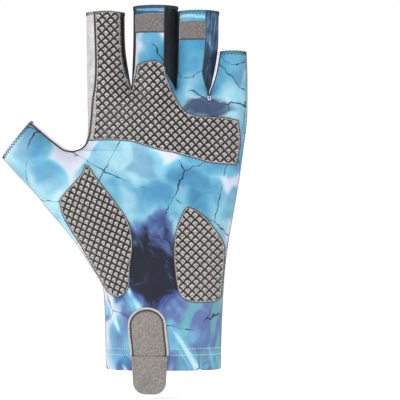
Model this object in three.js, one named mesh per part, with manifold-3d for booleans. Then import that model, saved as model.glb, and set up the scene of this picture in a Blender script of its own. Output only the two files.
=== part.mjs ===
// Half-finger fishing glove for the left hand, in millimetres, +Z up.
// It is filled out as worn, fingers up, with its palm towards -Y and its thumb towards -X.
// The origin is the centre of the wrist opening, at the hem.
import * as THREE from "three";
import { mergeVertices } from "three/addons/utils/BufferGeometryUtils.js";
import Module from "manifold-3d";

const wasm = await Module();
wasm.setup();

// Hand sizes
const WRIST_WIDTH = 67;
const WRIST_DEPTH = 42;
const PALM_WIDTH = 92;
const PALM_DEPTH = 34;
const PALM_LENGTH = 163; // hem to the finger webs
const FINGER_LENGTH = 47.5; // web to the rim of the middle finger
const FINGER_DEPTH = 21;
const THUMB_LENGTH = 104; // heel of the hand to the thumb's rim
const THUMB_WIDTH = 27;
const THUMB_DEPTH = 24;
const THUMB_ANGLE = THREE.MathUtils.degToRad(38); // away from the fingers

// Cloth, patches and tabs
const CLOTH = 1.2;
const SEAM_GAP = 0.3;
const PATCH_THICKNESS = 1.3;
const FINGER_TAB_THICKNESS = 1.1;
const FINGER_TAB_HEIGHT = 10.4;
const MIDDLE_TAB_DROP = 4.6; // from the rim to the tab's top edge
const RING_TAB_DROP = 5.8;
const PIPING_WIDTH = 1.6;
const PIPING_THICKNESS = 1.2;
const WRIST_TAB_WIDTH = 21.5;
const WRIST_TAB_RISE = 36.4; // above the hem
const WRIST_TAB_DROP = 14.2; // below the hem
const WRIST_TAB_THICKNESS = 3;
const WRIST_TAB_CORNER = 7;
const WRIST_TAB_OFFSET = 9; // from the middle of the wrist towards the thumb

// Shape of the sections
const HAND_ROUNDNESS = 2.25; // 2 is an ellipse, more is squarer
const FINGER_ROUNDNESS = 2.1;
const HAND_SIDES = 36;
const THUMB_SIDES = 24;
const FINGER_SIDES = 20;
const OVERRUN = 4; // how far cutters run past what they cut

// Heights are shares up the hand: 0 at the hem, 1 at the webs, 2 at the middle finger's rim.
// Widths are shares of half the hand's width at that height: -1 is its thumb side.
const WIDENING_STARTS = 0.245;
const WIDENING_ENDS = 0.86;

// left and right: share of half the width; deep: 0 wrist to 1 palm; close: share of that depth;
// tilt: how far the thumb side is above the middle, share of the palm's length
const HAND_SECTIONS = [
  { up: 0, left: -0.997, right: 0.997, deep: 0, close: 1, tilt: 0 },
  { up: 0.104, left: -1.003, right: 1.003, deep: 0, close: 0.98, tilt: 0 },
  { up: 0.27, left: -1.019, right: 1.031, deep: 0.1, close: 0.98, tilt: 0 },
  { up: 0.368, left: -1.049, right: 1.029, deep: 0.3, close: 1, tilt: 0 },
  { up: 0.479, left: -1.052, right: 1.02, deep: 0.55, close: 1, tilt: 0 },
  { up: 0.601, left: -1.068, right: 1.015, deep: 0.8, close: 1, tilt: 0 },
  { up: 0.706, left: -1.112, right: 1.012, deep: 1, close: 1, tilt: 0 },
  { up: 0.767, left: -1.102, right: 1.018, deep: 1, close: 0.99, tilt: 0 },
  { up: 0.798, left: -1.025, right: 1.021, deep: 1, close: 0.97, tilt: 0 },
  { up: 0.84, left: -0.972, right: 1.035, deep: 1, close: 0.93, tilt: 0.004 },
  { up: 0.89, left: -0.954, right: 1.052, deep: 1, close: 0.86, tilt: 0.01 },
  { up: 0.939, left: -0.961, right: 1.05, deep: 1, close: 0.72, tilt: 0.018 },
  { up: 0.975, left: -0.935, right: 1.0, deep: 1, close: 0.48, tilt: 0.025 },
  { up: 0.995, left: -0.826, right: 0.87, deep: 1, close: 0.14, tilt: 0.028 },
];

// web, half and rim: the two edges, share of half the palm's width; reach: share of the finger
// length; deep: share of the finger depth; curl: how far the rim leans to the palm, share of length;
// the rest: where its seams run in from its edges, share of its width, on palm and back
const FINGERS = [
  {
    name: "index", web: [-0.963, -0.411], half: [-0.97, -0.478], rim: [-0.972, -0.491],
    reach: 0.926, deep: 1, curl: 0.05,
    palmLeft: 0.21, palmRight: 0.1, backLeft: 0.21, backRight: 0.16,
  },
  {
    name: "middle", web: [-0.398, 0.157], half: [-0.383, 0.174], rim: [-0.378, 0.183],
    reach: 1, deep: 1.05, curl: 0.06,
    palmLeft: 0.06, palmRight: 0.29, backLeft: 0.15, backRight: 0.16,
  },
  {
    name: "ring", web: [0.17, 0.574], half: [0.187, 0.683], rim: [0.196, 0.702],
    reach: 0.939, deep: 1, curl: 0.08,
    palmLeft: 0.05, palmRight: 0.31, backLeft: 0.15, backRight: 0.16,
  },
  {
    name: "little", web: [0.587, 1.057], half: [0.648, 1.057], rim: [0.702, 1.046],
    reach: 0.45, deep: 0.86, curl: 0.1,
    palmLeft: 0.08, palmRight: 0, backLeft: 0.15, backRight: 0,
  },
];
const FINGER_ROOT = 0.85; // where the finger tubes start inside the palm
const WEB_SEAM_SHARE = 0.3; // a fourchette narrows to this share of its width at the web
const WEB_SEAM_DROP = 0.018; // and ends this far below the web, share of the palm's length

// along and bow: place on and beside the thumb's line, share of its length; wide and deep: share
// of its width and depth; fore: how far it leans to the palm, share of the palm's depth;
// turn: degrees that the section turns from square
const THUMB_ROOT = { across: -0.626, up: 0.316 };
const THUMB_SECTIONS = [
  { along: 0, bow: 0, wide: 0.99, deep: 1.15, fore: 0.03, turn: -19 },
  { along: 0.158, bow: -0.048, wide: 1.244, deep: 1.33, fore: 0.06, turn: -15 },
  { along: 0.305, bow: -0.071, wide: 1.296, deep: 1.38, fore: 0.08, turn: -7 },
  { along: 0.448, bow: -0.075, wide: 1.304, deep: 1.33, fore: 0.1, turn: 1 },
  { along: 0.602, bow: -0.084, wide: 1.456, deep: 1.25, fore: 0.11, turn: 11 },
  { along: 0.741, bow: -0.05, wide: 1.2, deep: 1.1, fore: 0.12, turn: 12 },
  { along: 0.872, bow: -0.023, wide: 1.085, deep: 1, fore: 0.13, turn: 12 },
  { along: 1, bow: 0, wide: 0.996, deep: 0.96, fore: 0.14, turn: 13 },
];

// The gusset's seam, from the thumb's rim round the crotch to the index finger
const CROTCH_ON_THUMB = [
  { along: 1, side: 0.9 },
  { along: 0.872, side: 0.88 },
];
const CROTCH_ON_PALM = [
  { across: -1.246, up: 0.777 },
  { across: -1.168, up: 0.769 },
  { across: -1.035, up: 0.783 },
  { across: -0.952, up: 0.818 },
  { across: -0.909, up: 0.879 },
  { across: -0.885, up: 0.959 },
];

// The main grip patch: two lobes up the fingers and a band across the palm
const MAIN_PATCH_ON_INDEX = [
  { share: 0.235, rise: 0 },
  { share: 0.235, rise: 0.985 },
  { share: 0.89, rise: 0.985 },
  { share: 0.875, rise: 0.74 },
  { share: 0.89, rise: 0.45 },
  { share: 0.92, rise: 0.22 },
  { share: 0.965, rise: 0.02 },
];
const MAIN_PATCH_ON_MIDDLE = [
  { share: 0.04, rise: -0.03 },
  { share: 0.1, rise: 0.145 },
  { share: 0.12, rise: 0.28 },
  { share: 0.2, rise: 0.32 },
  { share: 0.35, rise: 0.337 },
  { share: 0.58, rise: 0.332 },
  { share: 0.7, rise: 0.3 },
  { share: 0.74, rise: 0.145 },
  { share: 0.82, rise: 0.05 },
];
const MAIN_PATCH_ON_PALM = [
  { across: 0.113, up: 0.986 },
  { across: 0.196, up: 0.947 },
  { across: 0.289, up: 0.915 },
  { across: 0.378, up: 0.904 },
  { across: 0.58, up: 0.899 },
  { across: 0.77, up: 0.895 },
  { across: 0.945, up: 0.886 },
  { across: 0.985, up: 0.845 },
  { across: 0.985, up: 0.79 },
  { across: 0.97, up: 0.735 },
  { across: 0.82, up: 0.729 },
  { across: 0.676, up: 0.733 },
  { across: 0.5, up: 0.743 },
  { across: 0.349, up: 0.755 },
  { across: 0.15, up: 0.768 },
  { across: -0.037, up: 0.779 },
  { across: -0.178, up: 0.79 },
  { across: -0.33, up: 0.804 },
  { across: -0.646, up: 0.815 },
  { across: -0.895, up: 0.814 },
  { across: -0.9, up: 0.84 },
  { across: -0.868, up: 0.9 },
];
const THENAR_PATCH = [
  { across: -1.056, up: 0.726 },
  { across: -1.28, up: 0.666 },
  { across: -1.421, up: 0.626 },
  { across: -1.462, up: 0.601 },
  { across: -1.468, up: 0.562 },
  { across: -1.411, up: 0.502 },
  { across: -1.319, up: 0.448 },
  { across: -1.15, up: 0.379 },
  { across: -0.985, up: 0.31 },
  { across: -0.914, up: 0.274 },
  { across: -0.8, up: 0.2595 },
  { across: -0.69, up: 0.265 },
  { across: -0.633, up: 0.283 },
  { across: -0.566, up: 0.366 },
  { across: -0.497, up: 0.46 },
  { across: -0.552, up: 0.526 },
  { across: -0.715, up: 0.594 },
  { across: -0.9, up: 0.672 },
];
const HYPOTHENAR_PATCH = [
  { across: 0.388, up: 0.577 },
  { across: 0.261, up: 0.53 },
  { across: 0.197, up: 0.479 },
  { across: 0.187, up: 0.413 },
  { across: 0.202, up: 0.36 },
  { across: 0.229, up: 0.318 },
  { across: 0.319, up: 0.263 },
  { across: 0.448, up: 0.245 },
  { across: 0.716, up: 0.2405 },
  { across: 0.95, up: 0.25 },
  { across: 0.972, up: 0.307 },
  { across: 0.965, up: 0.38 },
  { across: 0.92, up: 0.442 },
  { across: 0.797, up: 0.503 },
  { across: 0.586, up: 0.558 },
];

const FINGER_TABS = [
  { finger: "middle", drop: MIDDLE_TAB_DROP },
  { finger: "ring", drop: RING_TAB_DROP },
];

const printedCloth = new THREE.MeshStandardMaterial({ color: 0x4fa6c8, roughness: 0.72 });
const backCloth = new THREE.MeshStandardMaterial({ color: 0x3f8fb8, roughness: 0.72 });
const darkCloth = new THREE.MeshStandardMaterial({ color: 0x232738, roughness: 0.75 });
const paleCloth = new THREE.MeshStandardMaterial({ color: 0xc3c6cc, roughness: 0.75 });
const gripRubber = new THREE.MeshStandardMaterial({ color: 0x8d8884, roughness: 0.6 });
const suede = new THREE.MeshStandardMaterial({ color: 0x9b9590, roughness: 0.9 });
const pipingBlack = new THREE.MeshStandardMaterial({ color: 0x17161a, roughness: 0.6 });

// Height of a share up the hand
function heightOf(up) {
  return up <= 1 ? up * PALM_LENGTH : PALM_LENGTH + (up - 1) * FINGER_LENGTH;
}

// Half the hand's width at a share up the hand: the wrist's, easing into the palm's
function halfWidthAt(up) {
  const ease = THREE.MathUtils.smoothstep(up, WIDENING_STARTS, WIDENING_ENDS);
  return THREE.MathUtils.lerp(WRIST_WIDTH, PALM_WIDTH, ease) / 2;
}

function handSpot({ across, up }) {
  return new THREE.Vector2(across * halfWidthAt(up), heightOf(up));
}

// Left and right edge of a finger at a rise of 0 (web) to 1 (rim)
function fingerEdges(finger, rise) {
  const [from, to, share] = rise < 0.5
    ? [finger.web, finger.half, rise * 2]
    : [finger.half, finger.rim, rise * 2 - 1];
  return [0, 1].map((side) => THREE.MathUtils.lerp(from[side], to[side], share) * PALM_WIDTH / 2);
}

function fingerHeight(finger, rise) {
  return PALM_LENGTH + rise * finger.reach * FINGER_LENGTH;
}

// A spot on a finger: share is 0 at its left edge and 1 at its right edge
function fingerSpot(finger, share, rise) {
  const [left, right] = fingerEdges(finger, rise);
  return new THREE.Vector2(THREE.MathUtils.lerp(left, right, share), fingerHeight(finger, rise));
}

function thumbRow(row) {
  const root = handSpot(THUMB_ROOT);
  const away = new THREE.Vector2(-Math.sin(THUMB_ANGLE), Math.cos(THUMB_ANGLE));
  const beside = new THREE.Vector2(-away.y, away.x);
  const centre = root
    .addScaledVector(away, row.along * THUMB_LENGTH)
    .addScaledVector(beside, row.bow * THUMB_LENGTH);
  const angle = THUMB_ANGLE + THREE.MathUtils.degToRad(row.turn);
  return {
    centre,
    lateral: new THREE.Vector2(Math.cos(angle), Math.sin(angle)),
    halfWidth: (row.wide * THUMB_WIDTH) / 2,
    halfDepth: (row.deep * THUMB_DEPTH) / 2,
    middle: -row.fore * PALM_DEPTH,
  };
}

// A spot on the thumb: side is -1 at its outer edge and 1 at its inner edge
function thumbSpot({ along, side }) {
  const row = THUMB_SECTIONS.find((section) => section.along >= along);
  const { centre, lateral, halfWidth } = thumbRow(row);
  return centre.addScaledVector(lateral, side * halfWidth);
}

function handRow(row) {
  const half = halfWidthAt(row.up);
  const rise = row.tilt * PALM_LENGTH;
  const left = new THREE.Vector2(row.left * half, heightOf(row.up) + rise);
  const right = new THREE.Vector2(row.right * half, heightOf(row.up) - rise);
  const lateral = right.clone().sub(left);
  const halfWidth = lateral.length() / 2;
  return {
    centre: left.add(right).multiplyScalar(0.5),
    lateral: lateral.normalize(),
    halfWidth,
    halfDepth: (THREE.MathUtils.lerp(WRIST_DEPTH, PALM_DEPTH, row.deep) * row.close) / 2,
    middle: 0,
  };
}

function fingerRow(finger, rise) {
  const inPalm = rise < 0;
  const [left, right] = fingerEdges(finger, Math.max(rise, 0));
  const height = inPalm ? heightOf(FINGER_ROOT) : fingerHeight(finger, rise);
  return {
    centre: new THREE.Vector2((left + right) / 2, height),
    lateral: new THREE.Vector2(1, 0),
    halfWidth: (right - left) / 2,
    halfDepth: (finger.deep * FINGER_DEPTH) / 2,
    middle: -finger.curl * FINGER_LENGTH * Math.max(rise, 0) ** 2,
  };
}

// A closed mesh as a solid that can be joined and cut
function solidOf(geometry) {
  const bare = geometry.clone();
  bare.deleteAttribute("normal");
  bare.deleteAttribute("uv");
  const merged = mergeVertices(bare, 1e-4);
  return new wasm.Manifold(
    new wasm.Mesh({
      numProp: 3,
      vertProperties: merged.getAttribute("position").array,
      triVerts: new Uint32Array(merged.getIndex().array),
    }),
  );
}

// A tube through superelliptic rings, with both ends closed; grow makes every ring larger,
// and startBy and endBy move the two ends out along the tube
function tube(rows, sides, roundness, grow, startBy, endBy) {
  const rings = rows.map((row) => ({ ...row, centre: row.centre.clone() }));
  const last = rings.length - 1;
  const endWays = [
    { ring: rings[0], next: rings[1], by: startBy },
    { ring: rings[last], next: rings[last - 1], by: endBy },
  ];
  const shifts = endWays.map(({ ring, next, by }) =>
    ring.centre.clone().sub(next.centre).normalize().multiplyScalar(by));
  endWays.forEach(({ ring }, end) => ring.centre.add(shifts[end]));
  const points = [];
  for (const { centre, lateral, halfWidth, halfDepth, middle } of rings) {
    for (let side = 0; side < sides; side++) {
      const angle = (2 * Math.PI * side) / sides;
      const [wide, deep] = [Math.cos(angle), Math.sin(angle)].map(
        (value) => Math.sign(value) * Math.abs(value) ** (2 / roundness));
      const reach = wide * (halfWidth + grow);
      points.push(
        centre.x + lateral.x * reach, middle + deep * (halfDepth + grow), centre.y + lateral.y * reach);
    }
  }
  const triangles = [];
  for (let ring = 0; ring < last; ring++) {
    for (let side = 0; side < sides; side++) {
      const a = ring * sides + side;
      const b = ring * sides + ((side + 1) % sides);
      triangles.push(a, b, b + sides, a, b + sides, a + sides);
    }
  }
  for (const [ring, first] of [[rings[0], 0], [rings[last], last * sides]]) {
    const hub = points.length / 3;
    points.push(ring.centre.x, ring.middle, ring.centre.y);
    for (let side = 0; side < sides; side++) {
      const a = first + side;
      const b = first + ((side + 1) % sides);
      triangles.push(...(first ? [hub, a, b] : [hub, b, a]));
    }
  }
  const geometry = new THREE.BufferGeometry();
  geometry.setAttribute("position", new THREE.Float32BufferAttribute(points, 3));
  geometry.setIndex(triangles);
  return solidOf(geometry);
}

// The whole hand's form, grown by a distance: palm and wrist, four fingers and the thumb
function handForm(grow, hemBy = 0, rimBy = 0) {
  let form = tube(HAND_SECTIONS.map(handRow), HAND_SIDES, HAND_ROUNDNESS, grow, hemBy, grow);
  const thumb = THUMB_SECTIONS.map(thumbRow);
  form = form.add(tube(thumb, THUMB_SIDES, FINGER_ROUNDNESS, grow, 0, rimBy));
  for (const finger of FINGERS) {
    const rows = [-1, 0, 0.5, 1].map((rise) => fingerRow(finger, rise));
    form = form.add(tube(rows, FINGER_SIDES, FINGER_ROUNDNESS, grow, 0, rimBy));
  }
  return form;
}

// A straight block of an outline drawn in the XZ plane, from one depth to another
function prism(outline, fromY, toY) {
  const geometry = new THREE.ExtrudeGeometry(new THREE.Shape(outline), {
    depth: toY - fromY,
    bevelEnabled: false,
  });
  geometry.rotateX(Math.PI / 2);
  geometry.translate(0, toY, 0);
  return solidOf(geometry);
}

function meshOf(name, solid, material) {
  const { vertProperties, triVerts } = solid.getMesh();
  const geometry = new THREE.BufferGeometry();
  geometry.setAttribute("position", new THREE.BufferAttribute(vertProperties, 3));
  geometry.setIndex(new THREE.BufferAttribute(triVerts, 1));
  geometry.computeVertexNormals();
  const mesh = new THREE.Mesh(geometry, material);
  mesh.name = name;
  return mesh;
}

// Points of a path moved to its left by a distance
function shifted(path, by) {
  return path.map((point, at) => {
    const before = path[Math.max(at - 1, 0)];
    const after = path[Math.min(at + 1, path.length - 1)];
    const way = after.clone().sub(before).normalize();
    return new THREE.Vector2(point.x - way.y * by, point.y + way.x * by);
  });
}

const handReach = WRIST_DEPTH + PALM_DEPTH + THUMB_DEPTH; // past every surface in depth
const topReach = heightOf(2) + OVERRUN * 4;

// The cloth skin: the form less its hollow, open at the wrist, the fingers and the thumb
const form = handForm(0);
const skin = form.subtract(handForm(-CLOTH, OVERRUN, OVERRUN));

// Palm and back part along the side seams, at the middle of the hand and of the thumb
function sideBlock(towards) {
  const thumbMiddle = thumbRow(THUMB_SECTIONS[THUMB_SECTIONS.length - 1]).middle;
  const wide = PALM_WIDTH + THUMB_LENGTH;
  const clear = (towards * SEAM_GAP) / 2;
  const line = [
    new THREE.Vector2(-wide, thumbMiddle + clear),
    new THREE.Vector2(handSpot(THUMB_ROOT).x - THUMB_LENGTH / 2, thumbMiddle + clear),
    new THREE.Vector2(-WRIST_WIDTH / 2, clear),
    new THREE.Vector2(wide, clear),
    new THREE.Vector2(wide, towards * handReach),
    new THREE.Vector2(-wide, towards * handReach),
  ];
  const geometry = new THREE.ExtrudeGeometry(new THREE.Shape(line), {
    depth: topReach + WRIST_TAB_DROP + OVERRUN * 2,
    bevelEnabled: false,
  });
  geometry.translate(0, 0, -WRIST_TAB_DROP - OVERRUN);
  return solidOf(geometry);
}

// The open V between two fingers, seam to seam, on the palm or the back
function fourchetteOutline(left, right, sideOnLeft, sideOnRight, by) {
  const rises = [1, 0.75, 0.5, 0.25, 0.08];
  const narrow = (rise) => THREE.MathUtils.lerp(WEB_SEAM_SHARE, 1, Math.min(rise * 2, 1));
  const down = rises.map((rise) => fingerSpot(left, 1 - left[sideOnLeft] * narrow(rise), rise));
  const up = rises.map((rise) => fingerSpot(right, right[sideOnRight] * narrow(rise), rise)).reverse();
  down.forEach((point) => (point.x -= by));
  up.forEach((point) => (point.x += by));
  const web = new THREE.Vector2(
    (fingerSpot(left, 1, 0).x + fingerSpot(right, 0, 0).x) / 2,
    PALM_LENGTH * (1 - WEB_SEAM_DROP) - by,
  );
  const above = topReach;
  return [
    new THREE.Vector2(down[0].x, above), ...down, web, ...up, new THREE.Vector2(up[up.length - 1].x, above),
  ];
}

function fourchetteRegion(left, right, by) {
  const palm = fourchetteOutline(left, right, "palmRight", "palmLeft", by);
  const back = fourchetteOutline(left, right, "backRight", "backLeft", by);
  return prism(palm, -handReach, 0).add(prism(back, 0, handReach));
}

// The crotch seam, run on past the thumb's rim and the index finger's
const index = FINGERS[0];
const thumbEnd = thumbRow(THUMB_SECTIONS[THUMB_SECTIONS.length - 1]);
const crotchPoints = [
  ...CROTCH_ON_THUMB.map(thumbSpot),
  ...CROTCH_ON_PALM.map(handSpot),
  ...[0.05, 0.4, 0.7, 1].map((rise) => fingerSpot(index, index.palmLeft, rise)),
];
const crotchSeam = new THREE.SplineCurve(crotchPoints).getSpacedPoints(36);

function gussetOutline(by) {
  const seam = shifted(crotchSeam, by);
  const pastRim = new THREE.Vector2(-Math.sin(THUMB_ANGLE), Math.cos(THUMB_ANGLE)).multiplyScalar(OVERRUN * 2);
  const start = seam[0].clone().add(pastRim);
  const end = seam[seam.length - 1].clone();
  return [
    start,
    ...seam,
    new THREE.Vector2(end.x, topReach),
    new THREE.Vector2(-PALM_WIDTH, topReach),
    start.clone().add(new THREE.Vector2(0, OVERRUN * 4)),
  ];
}

// The panels and what is let in between them
const gussetRegion = prism(gussetOutline(SEAM_GAP / 2), -handReach, handReach);
const gussetClear = prism(gussetOutline(-SEAM_GAP / 2), -handReach, handReach);
const gaps = FINGERS.slice(1).map((right, at) => ({
  name: "fourchette_" + FINGERS[at].name + "_" + right.name,
  region: fourchetteRegion(FINGERS[at], right, -SEAM_GAP / 2),
  clear: fourchetteRegion(FINGERS[at], right, SEAM_GAP / 2),
}));

function panel(towards) {
  const open = gaps.reduce((piece, gap) => piece.subtract(gap.clear), skin.intersect(sideBlock(towards)));
  return largest(open.subtract(gussetClear));
}

// The main body of a cut piece
function largest(solid) {
  return solid.decompose().reduce((best, body) => (body.volume() > best.volume() ? body : best));
}

// A patch that lies on the palm: its outline carried onto the form, one gap above the cloth
function onPalm(outline, thickness, hemBy = 0) {
  const layer = handForm(SEAM_GAP + thickness, hemBy).subtract(handForm(SEAM_GAP, hemBy + OVERRUN));
  return largest(layer.intersect(prism(outline, -handReach, -SEAM_GAP)));
}

function mainPatchOutline() {
  const [onIndex, onMiddle] = [MAIN_PATCH_ON_INDEX, MAIN_PATCH_ON_MIDDLE].map((points, at) =>
    points.map(({ share, rise }) => fingerSpot(FINGERS[at], share, rise)));
  return [...onIndex, ...onMiddle, ...MAIN_PATCH_ON_PALM.map(handSpot)];
}

function smoothOutline(points) {
  return new THREE.CatmullRomCurve3(points.map(({ x, y }) => new THREE.Vector3(x, y, 0)), true)
    .getPoints(points.length * 2)
    .slice(0, -1)
    .map(({ x, y }) => new THREE.Vector2(x, y));
}

function pipingOutline() {
  return [...shifted(crotchSeam, PIPING_WIDTH / 2), ...shifted(crotchSeam, -PIPING_WIDTH / 2).reverse()];
}

function fingerTabOutline({ finger: name, drop }) {
  const finger = FINGERS.find((row) => row.name === name);
  const top = 1 - drop / (finger.reach * FINGER_LENGTH);
  const bottom = top - FINGER_TAB_HEIGHT / (finger.reach * FINGER_LENGTH);
  const [left, right] = [finger.palmLeft, 1 - finger.palmRight];
  return [[left, bottom], [right, bottom], [right, top], [left, top]].map(([share, rise]) =>
    fingerSpot(finger, share, rise));
}

// An arch at the top, straight sides, and two rounded corners that hang below the hem
function wristTabOutline() {
  const half = WRIST_TAB_WIDTH / 2;
  const corner = Math.min(WRIST_TAB_CORNER, half);
  const shape = new THREE.Shape();
  shape.absarc(-WRIST_TAB_OFFSET, WRIST_TAB_RISE - half, half, 0, Math.PI, false);
  shape.absarc(-WRIST_TAB_OFFSET - half + corner, corner - WRIST_TAB_DROP, corner, Math.PI, 1.5 * Math.PI);
  shape.absarc(-WRIST_TAB_OFFSET + half - corner, corner - WRIST_TAB_DROP, corner, 1.5 * Math.PI, 2 * Math.PI);
  return shape.getPoints(8);
}

const glove = new THREE.Group();
glove.add(meshOf("palm_panel", panel(-1), printedCloth));
glove.add(meshOf("back_panel", panel(1), backCloth));
for (const { name, region } of gaps) {
  glove.add(meshOf(name, largest(skin.intersect(region)), darkCloth));
}
glove.add(meshOf("thumb_gusset", largest(skin.intersect(gussetRegion)), paleCloth));
glove.add(meshOf("crotch_piping", onPalm(pipingOutline(), PIPING_THICKNESS), pipingBlack));
const pipingClear = prism(gussetOutline(-PIPING_WIDTH / 2 - SEAM_GAP), -handReach, handReach);
const mainPatch = onPalm(mainPatchOutline(), PATCH_THICKNESS).subtract(pipingClear);
glove.add(meshOf("grip_patch_main", largest(mainPatch), gripRubber));
const palmPatches = [
  { name: "grip_patch_thenar", outline: THENAR_PATCH },
  { name: "grip_patch_hypothenar", outline: HYPOTHENAR_PATCH },
];
for (const { name, outline } of palmPatches) {
  glove.add(meshOf(name, onPalm(smoothOutline(outline.map(handSpot)), PATCH_THICKNESS), gripRubber));
}
for (const tab of FINGER_TABS) {
  const name = "finger_tab_" + tab.finger;
  glove.add(meshOf(name, onPalm(fingerTabOutline(tab), FINGER_TAB_THICKNESS), suede));
}
const wristTab = onPalm(wristTabOutline(), WRIST_TAB_THICKNESS, WRIST_TAB_DROP + OVERRUN);
glove.add(meshOf("wrist_tab", wristTab, suede));

export default glove;
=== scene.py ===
"""A half-finger fishing glove for the left hand, palm towards -Y, fingers up.

The skin is worked out in millimetres as strips that run up the hand: one for the thumb and one
for each finger. A strip lies between two edge curves, and its palm and back bulge out from the
plane of the hand by rounded profiles. Every patch, tab, piping and stitch is laid on that skin.
"""
import math
from functools import partial

import bpy
import numpy as np
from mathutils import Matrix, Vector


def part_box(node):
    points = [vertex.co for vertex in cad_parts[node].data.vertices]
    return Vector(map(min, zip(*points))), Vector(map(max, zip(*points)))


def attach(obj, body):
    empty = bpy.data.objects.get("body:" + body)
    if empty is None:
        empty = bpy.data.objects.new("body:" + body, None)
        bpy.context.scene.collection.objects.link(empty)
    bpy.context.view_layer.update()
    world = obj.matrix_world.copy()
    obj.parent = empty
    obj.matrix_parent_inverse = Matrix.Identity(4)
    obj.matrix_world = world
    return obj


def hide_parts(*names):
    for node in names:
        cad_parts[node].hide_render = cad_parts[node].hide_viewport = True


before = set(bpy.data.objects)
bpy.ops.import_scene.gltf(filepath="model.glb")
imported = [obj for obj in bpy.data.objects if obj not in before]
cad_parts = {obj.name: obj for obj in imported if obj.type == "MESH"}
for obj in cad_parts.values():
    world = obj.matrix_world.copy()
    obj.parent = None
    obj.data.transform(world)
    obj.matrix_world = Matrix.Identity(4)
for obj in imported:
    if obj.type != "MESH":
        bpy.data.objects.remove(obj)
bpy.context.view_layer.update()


# Sizes in millimetres, taken from the solids

MM = 0.001


def corners(node):
    """The lowest and highest corner of a node, in millimetres."""
    return [np.array(corner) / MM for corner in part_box(node)]


panel_high = corners("palm_panel")[1]
tab_low, tab_high = corners("wrist_tab")

HAND_LENGTH = panel_high[2]
WEB_SHARE = 0.7743
WEB_HEIGHT = WEB_SHARE * HAND_LENGTH
FINGER_LENGTH = HAND_LENGTH - WEB_HEIGHT
RIGHTMOST_SHARE = 1.057
PALM_HALF = panel_high[0] / RIGHTMOST_SHARE
WRIST_SHARE = 0.728
WRIST_HALF = WRIST_SHARE * PALM_HALF
CLOTH = 1.1


# The camera stands straight in front of the palm, far off, as a product photo is taken

CAMERA_DISTANCE = 1500.0
PICTURE_WIDTH = 233.0
PICTURE_MIDDLE = (21.3, 98.2)
SENSOR_WIDTH = 36

camera_data = bpy.data.cameras.new("camera")
camera_data.sensor_width = SENSOR_WIDTH
camera_data.lens = camera_data.sensor_width * CAMERA_DISTANCE / PICTURE_WIDTH
camera = bpy.data.objects.new("camera", camera_data)
camera.location = (PICTURE_MIDDLE[0] * MM, -CAMERA_DISTANCE * MM, PICTURE_MIDDLE[1] * MM)
camera.rotation_euler = (math.pi / 2, 0, 0)
bpy.context.scene.collection.objects.link(camera)
bpy.context.scene.camera = camera


# Curves and blends

def smooth(value, start, end):
    """0 before start, 1 after end, and an S-shaped cubic between them."""
    share = np.clip((value - start) / (end - start), 0, 1)
    return share * share * (3 - 2 * share)


def blend(low, high, share):
    """A straight mix of two values."""
    return low + (high - low) * share


def follow(at, stops, values):
    """The cubic curve through values at the stops, with the slope of its neighbours at each."""
    stops = np.asarray(stops, float)
    values = np.asarray(values, float)
    at = np.clip(at, stops[0], stops[-1])
    slope = np.gradient(values, stops)
    piece = np.clip(np.searchsorted(stops, at, side="right") - 1, 0, len(stops) - 2)
    step = stops[piece + 1] - stops[piece]
    t = (at - stops[piece]) / step
    return (
        values[piece] * (2 * t**3 - 3 * t**2 + 1)
        + slope[piece] * step * (t**3 - 2 * t**2 + t)
        + values[piece + 1] * (3 * t**2 - 2 * t**3)
        + slope[piece + 1] * step * (t**3 - t**2)
    )


def running_length(path):
    """Length along a path from its start to each of its points."""
    return np.concatenate([[0], np.cumsum(np.linalg.norm(np.diff(path, axis=0), axis=1))])


def at_lengths(values, length, at):
    """A path's values at the given lengths along it, straight between its points."""
    return np.stack([np.interp(at, length, column) for column in values.T], -1)


def unit(vectors):
    """Vectors brought to length 1."""
    return vectors / np.maximum(np.linalg.norm(vectors, axis=-1, keepdims=True), 1e-9)


def along(points, share, closed=False):
    """Points at shares of the length of a smooth curve through the given ones."""
    points = np.asarray(points, float)
    if closed:
        points = np.vstack([points[-2:], points, points[:3]])
    length = running_length(points)
    start, end = (length[2], length[-3]) if closed else (0, length[-1])
    at = blend(start, end, np.asarray(share))
    return np.stack([follow(at, length, points[:, axis]) for axis in range(points.shape[1])], -1)


def height_of(up):
    """Height of a share up the hand: 0 hem, 1 webs, 2 the middle finger's rim."""
    up = np.asarray(up, float)
    return np.minimum(up, 1) * WEB_HEIGHT + np.maximum(up - 1, 0) * FINGER_LENGTH


def half_width(height):
    """Half the hand's width at a height: the wrist's, easing into the palm's."""
    return blend(WRIST_HALF, PALM_HALF, smooth(height / WEB_HEIGHT, 0.245, 0.86))


def hand_spots(shares):
    """Places in the plane of the hand from rows of (share across, share up)."""
    shares = np.asarray(shares, float)
    height = height_of(shares[:, 1])
    return np.stack([shares[:, 0] * half_width(height), height], -1)


def distance_to(path, points):
    """The shortest distance from each point to a path, over all its straight pieces."""
    flat = points.reshape(-1, 2)
    best = np.full(len(flat), np.inf)
    for start, end in zip(path[:-1], path[1:]):
        way = end - start
        share = np.clip(((flat - start) @ way) / max(way @ way, 1e-9), 0, 1)
        best = np.minimum(best, np.linalg.norm(flat - start - share[:, None] * way, axis=1))
    return best.reshape(points.shape[:-1])


# The plan of the hand: edge curves as (share across, share up)

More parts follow.
